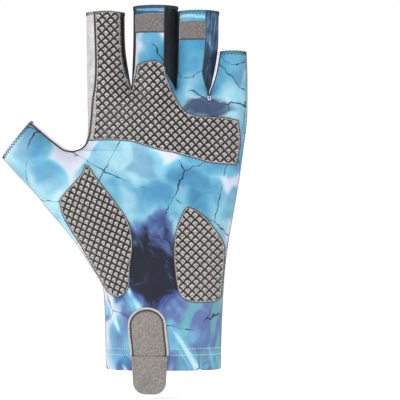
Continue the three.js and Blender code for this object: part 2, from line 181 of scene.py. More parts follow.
CROTCH = (-1.147, 0.776)
OUTER_EDGE = hand_spots([
    (-0.997, 0), (-1.003, 0.104), (-1.019, 0.24), (-1.035, 0.288), (-1.229, 0.374), (-1.367, 0.441),
    (-1.503, 0.502), (-1.64, 0.559), (-1.777, 0.63), (-1.931, 0.693), (-2.073, 0.7546),
])
THUMB_INNER_EDGE = hand_spots([
    CROTCH, (-1.242, 0.7865), (-1.365, 0.812), (-1.522, 0.85), (-1.665, 0.8847),
])
THUMB_FOLD = hand_spots([
    (-0.418, 0), (-0.475, 0.288), (-0.712, 0.491), (-0.941, 0.644), (-1.076, 0.73), CROTCH,
])
INDEX_EDGE = hand_spots([
    CROTCH, (-1.09, 0.7804), (-1.032, 0.791), (-0.995, 0.8055), (-0.9725, 0.822),
    (-0.954, 0.879), (-0.963, 0.963), (-0.963, 1.0),
])
RIGHT_EDGE = hand_spots([
    (0.997, 0), (1.003, 0.104), (1.031, 0.27), (1.029, 0.368), (1.02, 0.479), (1.015, 0.601),
    (1.012, 0.706), (1.021, 0.798), (1.035, 0.84), (1.052, 0.89), (1.057, 0.95), (1.057, 1.0),
])
FOLDS = {
    "index_middle": hand_spots([(-0.09, 0), (-0.317, 0.491), (-0.386, 0.773), (-0.405, 1.0)]),
    "middle_ring": hand_spots([(0.269, 0), (0.211, 0.491), (0.166, 0.773), (0.163, 1.01)]),
    "ring_little": hand_spots([(0.627, 0), (0.62, 0.491), (0.585, 0.773), (0.58, 0.975)]),
}
WEBS = {
    "index_left": 1.0, "index_middle": 1.0, "middle_ring": 1.01, "ring_little": 0.975,
    "little_right": 0.975,
}

# web, half, rim: both edges at the web, halfway and at the rim, in shares of half the palm
# reach: share of the finger length; deep: half the depth; curl: lean of the rim to the palm
# left, right: names of the edges; palm, back: seams in from both edges, in shares of the width
FINGERS = [
    dict(name="index", web=(-0.963, -0.409), half=(-0.97, -0.478), rim=(-0.972, -0.491), reach=0.926,
         deep=10.5, curl=2.4, left="index_left", right="index_middle",
         palm=(0.21, 0.1), back=(0.21, 0.16)),
    dict(name="middle", web=(-0.401, 0.16), half=(-0.383, 0.174), rim=(-0.378, 0.183), reach=1.0,
         deep=11.0, curl=2.8, left="index_middle", right="middle_ring",
         palm=(0.06, 0.29), back=(0.15, 0.16)),
    dict(name="ring", web=(0.166, 0.576), half=(0.171, 0.683), rim=(0.18, 0.702), reach=0.939,
         deep=10.5, curl=3.6, left="middle_ring", right="ring_little",
         palm=(0.05, 0.31), back=(0.15, 0.16)),
    dict(name="little", web=(0.584, 1.057), half=(0.648, 1.057), rim=(0.702, 1.046), reach=0.45,
         deep=9.0, curl=2.1, left="ring_little", right="little_right",
         palm=(0.08, 0.0), back=(0.15, 0.0)),
]
FINGER = {finger["name"]: finger for finger in FINGERS}

# Half the depth of the hand at shares up it
DEPTH_STOPS = height_of([0, 0.104, 0.27, 0.368, 0.479, 0.601, 0.706, 0.798, 0.89, 1.0])
HALF_DEPTHS = [20.8, 20.5, 20.0, 19.6, 18.8, 17.9, 17.0, 16.2, 14.6, 12.5]
THUMB_HALF_DEPTHS = (15.5, 12.8, 11.6)
THUMB_LEAN = 4.8
KNUCKLE_LINE = 0.92 * WEB_HEIGHT
WEB_VALLEY = 15.0
RIM_ARCH = 0.4
HEM_ROWS = (9.0, 12.6)
RIM_FOLD = 3.6
CROTCH_VALLEY = 17.0
MEET_BELOW_WEB = 2.8
MEET_BELOW_CROTCH = 1.5
HAND_POWER = 2.25
FINGER_POWER = 2.1
HAND_EDGE_TOP = KNUCKLE_LINE * 1.09
NEAR_CROTCH = 11.0
NEAR_WEB = 5.0
EDGE_FADE = 6.0
DETAIL_FADE = 12.0
THUMB_TUBE = 30.0
SEAM_OPENS = 17.0

# The gusset's seam: its share of the thumb's width at the crotch and at the rim
THUMB_SEAM_SHARES = (0.02, 0.055)
THUMB_SEAM_LENGTH = 33.0

# The gusset's seam on the index finger: heights over the crotch and shares of its width
INDEX_SEAM_HEIGHTS = np.array([-MEET_BELOW_CROTCH, 0, 2.5, 7.5, 16.5, 29.5, 39, 100])
INDEX_SEAM_SHARES = np.array([0, 0.02, 0.04, 0.05, 0.08, 0.14, 0.2, 0.21])

# Rows up the hand: v runs 0 hem, 1 crotch, 2 knuckle line, 3 webs, 4 rims
crotch_height = height_of(CROTCH[1])


def edge_at(name, height):
    """Across place of a fold below its web at a height."""
    path = FOLDS[name]
    return follow(height, path[:, 1], path[:, 0])


def finger_heights(v, web, rim):
    """Height of row v on an edge that has its web and its rim at the given heights."""
    low = np.interp(v, [0, 1, 2, 3], [0, crotch_height, KNUCKLE_LINE, web])
    return np.where(v <= 3, low, blend(web, rim, np.clip(v - 3, 0, 1)))


def finger_edge(finger, side, v):
    """Plan places of a finger strip's edge, from the hem to the rim.

    Up to the web it follows the fold or the hand's own edge, and above the web it is a cubic
    curve through the edge's places at the web, halfway and at the rim.
    """
    name = finger["right"] if side else finger["left"]
    web = height_of(WEBS[name])
    rim = WEB_HEIGHT + finger["reach"] * FINGER_LENGTH
    height = finger_heights(v, web, rim)
    if name in FOLDS:
        below = edge_at(name, height)
    elif name == "little_right":
        below = follow(height, RIGHT_EDGE[:, 1], RIGHT_EDGE[:, 0])
    else:
        on_fold = follow(height, THUMB_FOLD[:, 1], THUMB_FOLD[:, 0])
        on_index = follow(height, INDEX_EDGE[:, 1], INDEX_EDGE[:, 0])
        below = np.where(height <= crotch_height, on_fold, on_index)
    rise = np.clip(v - 3, 0, 1)
    start = edge_at(name, web) if name in FOLDS else finger["web"][side] * PALM_HALF
    middle, end = (finger[place][side] * PALM_HALF for place in ("half", "rim"))
    above = follow(rise, [0, 0.5, 1], [start, middle, end])
    return np.stack([np.where(v <= 3, below, above), height], -1)


def thumb_edges(v):
    """Plan places of the thumb strip's outer and inner edge; v runs 0 hem, 1 crotch, 2 rim.

    The inner edge is the fold below the crotch and the thumb's own edge above it. The outer edge
    is a curve taken at shares of its length that keep the rows square to the thumb.
    """
    height = np.minimum(v, 1) * crotch_height
    fold = np.stack([follow(height, THUMB_FOLD[:, 1], THUMB_FOLD[:, 0]), height], -1)
    inner = np.where((v <= 1)[..., None], fold, along(THUMB_INNER_EDGE, np.clip(v - 1, 0, 1)))
    share = follow(v, [0, 0.35, 0.64, 0.83, 1, 2], [0, 0.3, 0.5, 0.615, 0.73, 1])
    return along(OUTER_EDGE, share), inner


def bulge(across, power):
    """A rounded profile: 1 in the middle, 0 at across -1 and 1."""
    return np.clip(1 - np.abs(across) ** power, 0, 1) ** (1 / power)


def mound(plan, centre, radius, rise):
    """A soft round swelling of the hand under the cloth."""
    away = np.linalg.norm(plan - np.asarray(centre), axis=-1) / radius
    return rise * np.exp(-away * away)


def hand_shape(plan, side):
    """What the hand under the cloth adds: a sum of round mounds and hollows, each a bell curve."""
    if side < 0:
        return (
            mound(plan, (-44, 76), 24, 3.2)
            + mound(plan, (24, 62), 24, 2.0)
            + mound(plan, (0, 142), 26, 0.8)
            + mound(plan, (-8, 92), 26, -2.4)
        )
    knuckles = [(-31, 150), (-6, 154), (17, 150), (37, 143)]
    swell = sum(mound(plan, centre, 9, 1.2) for centre in knuckles)
    return swell + mound(plan, (0, 95), 45, 0.8) + mound(plan, (0, 20), 25, -0.6)


def wrinkles(plan, side):
    """Shallow slanting drag folds: sines of slightly bent stripes, kept to where cloth slackens."""
    x, z = plan[..., 0], plan[..., 1]
    cuff = 0.28 * np.sin((z + 0.35 * x + 4 * np.sin(x / 17)) / 4.1 + side) * smooth(-z, -52, -20)
    slant = (x + 0.8 * z + 5 * np.sin(z / 19)) / 5.2
    near_thumb = np.exp(-(((x + 38) / 17) ** 2 + ((z - 108) / 15) ** 2))
    near_wrist = np.exp(-(((z - 48) / 11) ** 2))
    bent = (0.9 * z - 0.25 * x * side + 3 * np.sin(x / 13 + 1)) / 3.9
    return cuff + 0.4 * near_thumb * np.sin(slant) + 0.36 * near_wrist * np.sin(bent)


def hem_fold(height):
    """The folded hem: a step up to its upper row of stitches, less a narrow bell at both rows."""
    fold = 0.35 * smooth(-height, -HEM_ROWS[1] - 1.2, -HEM_ROWS[1] + 0.4)
    return fold - sum(0.3 * np.exp(-(((height - row) / 0.75) ** 2)) for row in HEM_ROWS)


def rim_fold(below_rim):
    """The folded rim: a step down to its seam, less a narrow bell where the seam pulls it in."""
    fold = 0.28 * smooth(-below_rim, -RIM_FOLD, -RIM_FOLD + 0.8)
    return fold - 0.22 * np.exp(-(((below_rim - RIM_FOLD) / 0.5) ** 2))


def skin(plan, height, middle, side):
    """Plan places with their depth: the middle plane plus the bulge, towards the palm (-1) or back.

    Mounds and wrinkles are added by a power of the bulge's share of DETAIL_FADE, so they die away
    at the glove's edge, and the hem's fold is added by that share's root.
    """
    share = np.clip(height / DETAIL_FADE, 0, 1)
    extra = (hand_shape(plan, side) + wrinkles(plan, side)) * share**1.5
    extra = extra + hem_fold(plan[..., 1]) * share**0.5
    depth = middle + side * (height + extra)
    return np.stack([plan[..., 0], depth, plan[..., 1]], -1)


def parted(rise, away, near):
    """Share to which two tubes have parted at their web: rises as a square beside the web.

    Farther than near from it the rise is S-shaped, so no crease runs across the hand.
    """
    rise = np.clip(rise, 0, 1)
    return blend(smooth(rise, 0, 1), rise**2, np.exp(-((away / near) ** 2)))


def hand_bulge(across_full, across_split, split, depth):
    """The depth times the root of the whole hand's squared profile mixed with the split one's."""
    full = bulge(across_full, HAND_POWER) ** 2
    apart = bulge(across_split, HAND_POWER) ** 2
    return depth * np.sqrt(blend(full, apart, split))


def finger_skin(finger, u, v, side):
    """Skin of a finger strip at share u across it and row v, on the palm (-1) or the back (1).

    Its height over the middle plane is the root of the hand's squared bulge mixed with the
    finger's own squared tube, by how far the fingers have parted there.
    """
    u, v = np.broadcast_arrays(np.asarray(u, float), np.asarray(v, float))
    left, right = (finger_edge(finger, edge, v) for edge in (0, 1))
    plan = blend(left, right, u[..., None])
    plan[..., 1] += RIM_ARCH * np.clip(v - 3, 0, 1) ** 3 * 4 * u * (1 - u)
    height = plan[..., 1]
    row = np.minimum(height, HAND_EDGE_TOP)
    hand_left = follow(row, THUMB_FOLD[:, 1], THUMB_FOLD[:, 0])
    above = follow(row, INDEX_EDGE[:, 1], INDEX_EDGE[:, 0])
    hand_left = np.where(row > crotch_height, above, hand_left)
    hand_right = follow(row, RIGHT_EDGE[:, 1], RIGHT_EDGE[:, 0])
    outer, inner = thumb_edges(np.clip(row / crotch_height, 0, 1))
    thumb_wide = np.linalg.norm(inner - outer, axis=-1)
    whole = thumb_wide + hand_right - inner[..., 0]
    across_full = 2 * (thumb_wide + plan[..., 0] - inner[..., 0]) / whole - 1
    across_split = 2 * (plan[..., 0] - hand_left) / (hand_right - hand_left) - 1
    from_left = plan[..., 0] - hand_left
    split = parted((row - crotch_height) / CROTCH_VALLEY + 1, from_left, NEAR_CROTCH)
    depth = follow(row, DEPTH_STOPS, HALF_DEPTHS)
    body = hand_bulge(np.clip(across_full, -1, 1), np.clip(across_split, -1, 1), split, depth)
    web = blend(height_of(WEBS[finger["left"]]), height_of(WEBS[finger["right"]]), u)
    from_edge = np.minimum(u, 1 - u) * (right[..., 0] - left[..., 0])
    open_web = parted((height - web) / WEB_VALLEY + 1, from_edge, NEAR_WEB)
    tube = finger["deep"] * bulge(2 * u - 1, FINGER_POWER)
    rise = np.clip((height - WEB_HEIGHT) / (finger["reach"] * FINGER_LENGTH), 0, 1)
    tall = np.sqrt(blend(body**2, tube**2, open_web))
    rim = (1 - np.clip(v - 3, 0, 1)) * finger["reach"] * FINGER_LENGTH
    tall = tall + rim_fold(rim) * np.clip(tall / EDGE_FADE, 0, 1)
    return skin(plan, tall, -finger["curl"] * rise**2, side)


def thumb_skin(u, v, side):
    """Skin of the thumb strip at share u from its outer to its inner edge and row v.

    Its height is the root of the hand's squared bulge mixed with the thumb's own squared tube,
    by how far the thumb has parted from the hand. The thumb leans towards the palm.
    """
    u, v = np.broadcast_arrays(np.asarray(u, float), np.asarray(v, float))
    outer, inner = thumb_edges(v)
    plan = blend(outer, inner, u[..., None])
    row = np.minimum(v, 1) * crotch_height
    hand_right = follow(row, RIGHT_EDGE[:, 1], RIGHT_EDGE[:, 0])
    wide = np.linalg.norm(inner - outer, axis=-1)
    whole = wide + hand_right - inner[..., 0]
    across_full = 2 * u * wide / whole - 1
    split = parted((v - 1) * crotch_height / CROTCH_VALLEY + 1, (1 - u) * wide, NEAR_CROTCH)
    depth = follow(row, DEPTH_STOPS, HALF_DEPTHS)
    full = (depth * bulge(across_full, HAND_POWER)) ** 2
    deep = follow(v, [0.8, 1.35, 2], THUMB_HALF_DEPTHS)
    tube = (deep * bulge(2 * u - 1, FINGER_POWER)) ** 2
    tall = np.sqrt(blend(full, tube, split))
    tall = tall + rim_fold((2 - v) * THUMB_TUBE) * np.clip(tall / EDGE_FADE, 0, 1)
    lean = THUMB_LEAN * smooth(v, 0.35, 1.7) * blend(1 - u, 1, smooth(v, 1, 1.6))
    return skin(plan, tall, -lean, side)


# Seams: share of a strip's width from its edges, growing from nothing where the two sides meet

def finger_seam(finger, side, edge, v):
    """Share in from a finger strip's left (0) or right (1) edge of its seam, on palm or back.

    It grows by a power of an S-shaped step over SEAM_OPENS, from where the strip's two sides
    meet. On the index finger's thumb side it is the cubic curve through INDEX_SEAM_SHARES.
    """
    full = finger["palm" if side < 0 else "back"][edge]
    name = finger["right"] if edge else finger["left"]
    if name == "little_right":
        return np.zeros_like(v)
    place = finger_edge(finger, edge, v)[..., 1]
    if name == "index_left":
        shares = INDEX_SEAM_SHARES * full / INDEX_SEAM_SHARES[-1]
        return follow(place, crotch_height + INDEX_SEAM_HEIGHTS, shares)
    above = place - height_of(WEBS[name]) + MEET_BELOW_WEB
    return full * smooth(above, 0, SEAM_OPENS) ** 0.8


def thumb_seam(v):
    """Share in from the thumb strip's inner edge of the gusset's seam.

    S-shaped steps take it from nothing to its share at the crotch, and on to that at the rim.
    """
    at_crotch, at_rim = THUMB_SEAM_SHARES
    rise = (v - 1) * crotch_height
    past = np.clip(v - 1, 0, 1) * THUMB_SEAM_LENGTH
    below = at_crotch * smooth(rise, -MEET_BELOW_CROTCH, 0)
    return np.where(v <= 1, below, blend(at_crotch, at_rim, smooth(past, 0, EDGE_FADE)))


def turned(theta):
    """Share across a strip at an angle round its tube."""
    return (1 - np.cos(theta)) / 2


def round_shares(start, end, count):
    """Shares from start to end in even steps of angle round the tube, one row for each v."""
    low, high = (np.arccos(1 - 2 * np.clip(value, 0, 1)) for value in (start, end))
    return turned(blend(low[:, None], high[:, None], np.linspace(0, 1, count)[None, :]))


def graded(start, end, count, power):
    """Values from start to end, closer at the start (power over 1) or at the end (under -1)."""
    steps = np.linspace(0, 1, count)
    if power < 0:
        return blend(start, end, 1 - (1 - steps) ** -power)
    return blend(start, end, steps**power)


# The rows of the grids: closer at the hem's fold, round the crotch and up the fingers
BELOW_CROTCH = np.concatenate([
    np.linspace(0, 0.125, 34)[:-1], np.linspace(0.125, 0.8, 44)[:-1], graded(0.8, 1, 16, -2),
])
crotch_meet = 1 - MEET_BELOW_CROTCH / crotch_height
BELOW_CROTCH = np.sort(np.append(BELOW_CROTCH, crotch_meet))
FINGER_ROWS = np.concatenate([
    BELOW_CROTCH, graded(1, 2, 26, 2)[1:], graded(2, 3, 16, -2)[1:], np.linspace(3, 4, 66)[1:],
])
THUMB_ROWS = np.concatenate([BELOW_CROTCH, np.linspace(1, 2, 44)[1:]])


# Meshes

def grid_faces(rows, columns, first, outward):
    """Four-cornered faces of a grid, wound to face -Y when its columns run +X and rows +Z."""
    at = first + np.arange(rows * columns).reshape(rows, columns)
    faces = np.stack([at[:-1, :-1], at[:-1, 1:], at[1:, 1:], at[1:, :-1]], -1).reshape(-1, 4)
    return faces if outward else faces[:, ::-1]


WELD = 2e-3


def weld_keys(points):
    """Whole numbers that are alike for points close enough to be one."""
    return np.round(points / WELD).astype(np.int64)


def welded(blocks):
    """Points, quads and triangles of grids joined where they meet; a block is (grid, outward)."""
    first = 0
    points = []
    faces = []
    for block, outward in blocks:
        rows, columns = block.shape[:2]
        points.append(block.reshape(-1, 3))
        faces.append(grid_faces(rows, columns, first, outward))
        first += rows * columns
    points = np.vstack(points)
    _, kept, place = np.unique(weld_keys(points), axis=0, return_index=True, return_inverse=True)
    quads = place.reshape(-1)[np.vstack(faces)]
    same = [quads[:, corner] == quads[:, (corner + 1) % 4] for corner in range(4)]
    count = sum(mark.astype(int) for mark in same)
    opposite = (quads[:, 0] == quads[:, 2]) | (quads[:, 1] == quads[:, 3])
    whole = quads[(count == 0) & ~opposite]
    one_short = (count == 1) & ~opposite
    threes = [np.delete(quads[one_short & mark], corner, 1) for corner, mark in enumerate(same)]
    return points[kept], whole, np.vstack(threes)


NO_FACES = np.empty((0, 4), int)


def object_of(name, shape, scale=MM):
    """An object of a shape's points, quads and triangles, put into the scene."""
    points, quads, triangles = shape
    mesh = bpy.data.meshes.new(name)
    mesh.from_pydata((points * scale).tolist(), [], quads.tolist() + triangles.tolist())
    made = bpy.data.objects.new(name, mesh)
    bpy.context.scene.collection.objects.link(made)
    return made


def take_out(helper):
    """Removes a helper object and its mesh."""
    mesh = helper.data
    bpy.data.objects.remove(helper)
    bpy.data.meshes.remove(mesh)


def shaped_points(helper):
    """The places of a helper's points once its modifiers have worked on it."""
    shaped = helper.evaluated_get(bpy.context.evaluated_depsgraph_get()).data
    found = np.empty(len(shaped.vertices) * 3, np.float32)
    shaped.vertices.foreach_get("co", found)
    return found.reshape(-1, 3)


def new_piece(name, shape, material, inside=None):
    """A smooth-shaded piece of the glove that rides with the part."""
    piece = object_of(name, shape)
    piece.data.shade_smooth()
    piece.data.materials.append(material)
    if inside:
        piece.data.materials.append(inside)
    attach(piece, "root")
    return piece


def thicken(piece, by, inside=False):
    """Gives a sheet its wall, inwards; with inside, the wall's back takes the second material."""
    wall = piece.modifiers.new("wall", "SOLIDIFY")
    wall.thickness = by * MM
    wall.offset = -1
    wall.use_even_offset = False
    wall.use_rim = True
    if inside:
        wall.material_offset = 1


SIDES = {-1: "palm_panel", 1: "back_panel"}
GAPS = {
    "index_left": "thumb_gusset",
    "index_middle": "fourchette_index_middle",
    "middle_ring": "fourchette_middle_ring",
    "ring_little": "fourchette_ring_little",
}
PANEL_COLUMNS = 44
THUMB_COLUMNS = 54
STRIP_COLUMNS = 14


def from_tip(seam):
    """The rows of a seam from the last one where it has no width."""
    first = int(np.argmax(seam > 0))
    return slice(max(first - 1, 0), None)


def cloth_blocks():
    """The grids of every cloth piece, and those of the palm side alone."""
    blocks = {name: [] for name in [*SIDES.values(), *GAPS.values()]}
    palm_side = []

    def add(node, strip, side, v, start, end, columns):
        """Adds the grid between two shares of a strip's width to a node's piece."""
        grid = strip(round_shares(start, end, columns), v[:, None], side)
        blocks[node].append((grid, side < 0))
        if side < 0:
            palm_side.append(grid)

    for side, panel in SIDES.items():
        v = FINGER_ROWS
        for finger in FINGERS:
            strip = partial(finger_skin, finger)
            left = finger_seam(finger, side, 0, v)
            right = finger_seam(finger, side, 1, v)
            add(panel, strip, side, v, left, 1 - right, PANEL_COLUMNS)
            ends = [
                (finger["left"], left, 0 * left, left),
                (finger["right"], right, 1 - right, 1 + 0 * right),
            ]
            for name, seam, start, end in ends:
                if name in GAPS:
                    rows = from_tip(seam)
                    add(GAPS[name], strip, side, v[rows], start[rows], end[rows], STRIP_COLUMNS)
        v = THUMB_ROWS
        seam = thumb_seam(v)
        rows = from_tip(seam)
        add(panel, thumb_skin, side, v, 0 * v, 1 - seam, THUMB_COLUMNS)
        inner_edge = 1 + 0 * v[rows]
        add("thumb_gusset", thumb_skin, side, v[rows], 1 - seam[rows], inner_edge, STRIP_COLUMNS)
    return blocks, palm_side


# Laying things on the palm

PROBE_FRONT = -80.0
MISSED_FRONT = -60.0


def lay(plan, skin_object):
    """Points on the palm straight behind places (x, z) in the plane of the hand.

    A point that misses the palm takes the depth of the nearest one that hits it.
    """
    flat = plan.reshape(-1, 2)
    start = np.stack([flat[:, 0], np.full(len(flat), PROBE_FRONT), flat[:, 1]], -1)
    probe = object_of("probe", (start, NO_FACES, NO_FACES))
    press = probe.modifiers.new("press", "SHRINKWRAP")
    press.wrap_method = "PROJECT"
    press.use_project_y = True
    press.use_positive_direction = True
    press.use_negative_direction = False
    press.target = skin_object
    found = (shaped_points(probe) / MM).astype(float)
    take_out(probe)
    missed = found[:, 1] < MISSED_FRONT
    if missed.any():
        hits = found[~missed]
        away = np.linalg.norm(flat[missed][:, None] - hits[None][..., [0, 2]], axis=-1)
        found[missed, 1] = hits[np.argmin(away, axis=1), 1]
    return found.reshape(plan.shape[:-1] + (3,))


def lay_with_normals(plan, skin_object, step=0.35):
    """Points on the palm and the palm's outward normals there, from two places close by."""
    around = [plan, plan + (step, 0), plan + (0, step)]
    here, right, up = lay(np.stack(around), skin_object)
    return here, unit(np.cross(right - here, up - here))


def coons(bottom, top, left, right):
    """A grid of places between four edge curves: both ruled surfaces less the flat corner one."""
    s = np.linspace(0, 1, len(bottom))[None, :, None]
    t = np.linspace(0, 1, len(left))[:, None, None]
    corners = blend(blend(bottom[0], bottom[-1], s), blend(top[0], top[-1], s), t)
    return blend(bottom[None], top[None], t) + blend(left[:, None], right[:, None], s) - corners


def rings(outline, centre, count):
    """A grid of copies of the outline, shrunk in even steps towards the middle of a patch."""
    share = np.linspace(1, 0.02, count)[:, None, None]
    return centre + (outline[None] - centre) * share


def tube_grid(path, outward, radius, sides=8, flatten=1.0):
    """Rings round a path: an ellipse of the radius across and flatten times it outwards."""
    way = unit(np.gradient(path, axis=0))
    outward = unit(outward - way * np.sum(way * outward, axis=1, keepdims=True))
    across = np.cross(way, outward)
    turn = np.linspace(0, 2 * math.pi, sides + 1)[None, :, None]
    radius = np.broadcast_to(np.asarray(radius, float), (len(path),))[:, None, None]
    rings_round = across[:, None] * np.cos(turn) + outward[:, None] * np.sin(turn) * flatten
    tube = path[:, None] + rings_round * radius
    ends = [np.broadcast_to(path[place], (1, sides + 1, 3)) for place in (0, -1)]
    return np.vstack([ends[0], tube, ends[1]])


def is_outward(points, quads, triangles):
    """True where the closed mesh has its faces outwards: its signed volume is positive."""
    corners = np.vstack([quads[:, [0, 1, 2]], quads[:, [0, 2, 3]], triangles])
    a, b, c = (points[corners[:, corner]] for corner in range(3))
    return np.sum(np.einsum("ij,ij->i", a, np.cross(b, c))) > 0


def closed_piece(name, grids, material):
    """A piece of closed grids, such as tubes, turned so that its faces point outwards."""
    first = 0
    shapes = []
    for grid in grids:
        points, quads, triangles = welded([(grid, True)])
        if not is_outward(points, quads, triangles):
            quads, triangles = quads[:, ::-1], triangles[:, ::-1]
        shapes.append((points, quads + first, triangles + first))
        first += len(points)
    shape = [np.vstack(part) for part in zip(*shapes)]
    return new_piece(name, shape, material)


# Finishes

class Amount:
    """A number that varies over a surface; sums with it add Math nodes to its finish."""

    def __init__(self, finish, socket):
        self.finish = finish
        self.socket = socket

    def math(self, operation, *values):
        settings = {"operation": operation}
        return self.finish.node("ShaderNodeMath", settings, dict(enumerate(values)))

    def __add__(self, other):
        return self.math("ADD", self, other)

    def __sub__(self, other):
        return self.math("SUBTRACT", self, other)

    def __rsub__(self, other):
        return self.math("SUBTRACT", other, self)

    def __mul__(self, other):
        return self.math("MULTIPLY", self, other)

    def __truediv__(self, other):
        return self.math("DIVIDE", self, other)

    def __pow__(self, other):
        return self.math("POWER", self, other)

    def __mod__(self, other):
        return self.math("FLOORED_MODULO", self, other)

    __radd__ = __add__
    __rmul__ = __mul__

    def sine(self):
        return self.math("SINE", self)

    def __abs__(self):
        return self.math("ABSOLUTE", self)

    def least(self, other):
        return self.math("MINIMUM", self, other)

    def ramp(self, start, end):
        """0 before start, 1 after end, S-shaped between; start may be the larger."""
        settings = {"interpolation_type": "SMOOTHSTEP"}
        sockets = {0: self, 1: start, 2: end, 3: 0.0, 4: 1.0}
        if start >= end:
            sockets = {0: self, 1: end, 2: start, 3: 1.0, 4: 0.0}
        return self.finish.node("ShaderNodeMapRange", settings, sockets)


class Finish:
    """A material of the glove with its own Principled shader, measured in millimetres."""

    def __init__(self, name, **shader):
        self.material = bpy.data.materials.new(name)
        self.material.use_nodes = True
        self.tree = self.material.node_tree
        self.tree.nodes.clear()
        self.shader = self.tree.nodes.new("ShaderNodeBsdfPrincipled")
        output = self.tree.nodes.new("ShaderNodeOutputMaterial")
        self.tree.links.new(self.shader.outputs[0], output.inputs[0])
        for socket, value in shader.items():
            self.shader.inputs[socket.replace("_", " ")].default_value = value
        coordinates = self.node("ShaderNodeTexCoord", out="Object").socket
        self.place = self.vector("SCALE", {0: coordinates, 3: 1 / MM})
        split = {0: self.place}
        self.x, self.y, self.z = (
            self.node("ShaderNodeSeparateXYZ", None, split, out=axis) for axis in range(3)
        )

    def node(self, kind, settings=None, inputs=None, out=0):
        """Adds a node: first its settings, then the values or links of its sockets."""
        node = self.tree.nodes.new(kind)
        for name, value in (settings or {}).items():
            if name == "stops":
                colours = node.color_ramp.elements
                while len(colours) < len(value):
                    colours.new(0.5)
                for element, (position, colour) in zip(colours, value):
                    element.position = position
                    element.color = colour
            else:
                setattr(node, name, value)
        for name, value in (inputs or {}).items():
            value = value.socket if isinstance(value, Amount) else value
            if isinstance(value, bpy.types.NodeSocket):
                self.tree.links.new(value, node.inputs[name])
            else:
                node.inputs[name].default_value = value
        return Amount(self, node.outputs[out])

    def vector(self, operation, sockets):
        """A sum on places or colours, as a socket."""
        return self.node("ShaderNodeVectorMath", {"operation": operation}, sockets).socket

    def channel(self, colour, which):
        """One channel of a colour, as an amount."""
        return self.node("ShaderNodeSeparateColor", None, {0: colour}, out=which)

    def stretched(self, stretch, turn=0.0):
        """The places for a pattern that is drawn out along a line leaning so many degrees right."""
        mapping = {"vector_type": "TEXTURE"}
        sockets = {0: self.place, 2: (0, math.radians(turn), 0), 3: (1, 1, stretch)}
        return self.node("ShaderNodeMapping", mapping, sockets).socket

    def noise(self, size, detail=3.0, rough=0.55, bend=0.0, where=None, out=0):
        """Cloudy noise with blobs of a size in millimetres."""
        sockets = {"Vector": where or self.place, "Scale": 1 / size, "Detail": detail}
        sockets.update({"Roughness": rough, "Distortion": bend})
        return self.node("ShaderNodeTexNoise", None, sockets, out)

    def cells(self, size, feature, where, random=1.0):
        """Cells of a size in millimetres: distance to the nearest edge or centre."""
        sockets = {"Vector": where, "Scale": 1 / size, "Randomness": random}
        return self.node("ShaderNodeTexVoronoi", {"feature": feature}, sockets)

    def waver(self, size, by):
        """The places, pushed about by up to a distance in millimetres, to bend a pattern."""
        cloud = self.noise(size, 2.0, out="Color").socket
        centred = self.vector("SUBTRACT", {0: cloud, 1: (0.5, 0.5, 0.5)})
        pushed = self.vector("SCALE", {0: centred, 3: 2 * by})
        return self.vector("ADD", {0: self.place, 1: pushed})

    def mix(self, low, high, share):
        """Two colours mixed by a share."""
        sockets = {0: share, 6: low, 7: high}
        return self.node("ShaderNodeMix", {"data_type": "RGBA"}, sockets, out=2)

    def colours(self, share, stops):
        """Colours at stops of a share, eased between them."""
        stops = [(position, rgb(colour)) for position, colour in stops]
        return self.node("ShaderNodeValToRGB", {"stops": stops}, {0: share})

    def paint(self, **sockets):
        """Links colours and amounts to the shader."""
        for name, value in sockets.items():
            self.tree.links.new(value.socket, self.shader.inputs[name.replace("_", " ")])

    def relief(self, height, depth, strength):
        """Bump from a height of 0 to 1 that is so many millimetres deep."""
        sockets = {"Strength": strength, "Distance": depth * MM, "Height": height}
        bump = self.node("ShaderNodeBump", None, sockets)
        self.tree.links.new(bump.socket, self.shader.inputs["Normal"])


def rgb(code):
    """A colour from its six-digit web code, in linear light."""
    parts = [int(code[start:start + 2], 16) / 255 for start in (0, 2, 4)]
    linear = [part / 12.92 if part <= 0.04045 else ((part + 0.055) / 1.055) ** 2.4 for part in parts]
    return (*linear, 1.0)


# The net of scales, as sums that work on numbers and on a finish's amounts alike

def soft_step(value, start, end):
    """0 before start and 1 after end, with an S-shaped rise; start may be the larger."""
    if isinstance(value, Amount):
        return value.ramp(start, end)
    return smooth(value, start, end) if start < end else 1 - smooth(value, end, start)


def turned_by(x, z, angle):
    """Places in the plane of the hand, turned by an angle in degrees."""
    cosine, sine = math.cos(math.radians(angle)), math.sin(math.radians(angle))
    return x * cosine + z * sine, z * cosine - x * sine


LINE_SLANT = 0.72
LINE_EDGES = (0.62, 0.38)


def scale_lines(x, z, width, height, line, arch):
    """The black lines between the scales: 1 on a line, 0 off it.

    Rows of arches lie half a cell apart, and each row is shifted by half a cell. An arch is 1
    less a power of the distance from its middle, so the scales have round tops and pointed feet.
    A line slants, so it is nearer than its distance upwards by LINE_SLANT.
    """
    across = x / width
    up = 2 * z / height
    even = 1 - abs(2 * (across % 1) - 1) ** arch
    odd = 1 - abs(2 * ((across + 0.5) % 1) - 1) ** arch
    to_even = abs(((up - even) / 2 + 0.5) % 1 - 0.5)
    to_odd = abs(((up - 1 - odd) / 2 + 0.5) % 1 - 0.5)
    nearest = (to_even + to_odd - abs(to_even - to_odd)) / 2 * height * LINE_SLANT
    return soft_step(nearest, line * LINE_EDGES[0], line * LINE_EDGES[1])


DASH_ENDS = (1.15, 0.75)
DASH_SIDES = (0.34, 0.16)


def scale_dashes(x, z, width, height):
    """A short level dash in the middle of every scale: 1 on it, 0 off it."""
    across = x / width
    up = 2 * z / height
    marks = 0
    for shift in (0, 1):
        sideways_off = abs((across + 0.5 * shift + 0.5) % 1 - 0.5) * width
        up_off = abs(((up + 1 - shift) / 2 + 0.5) % 1 - 0.5) * height
        marks = soft_step(sideways_off, *DASH_ENDS) * soft_step(up_off, *DASH_SIDES) + marks
    return marks


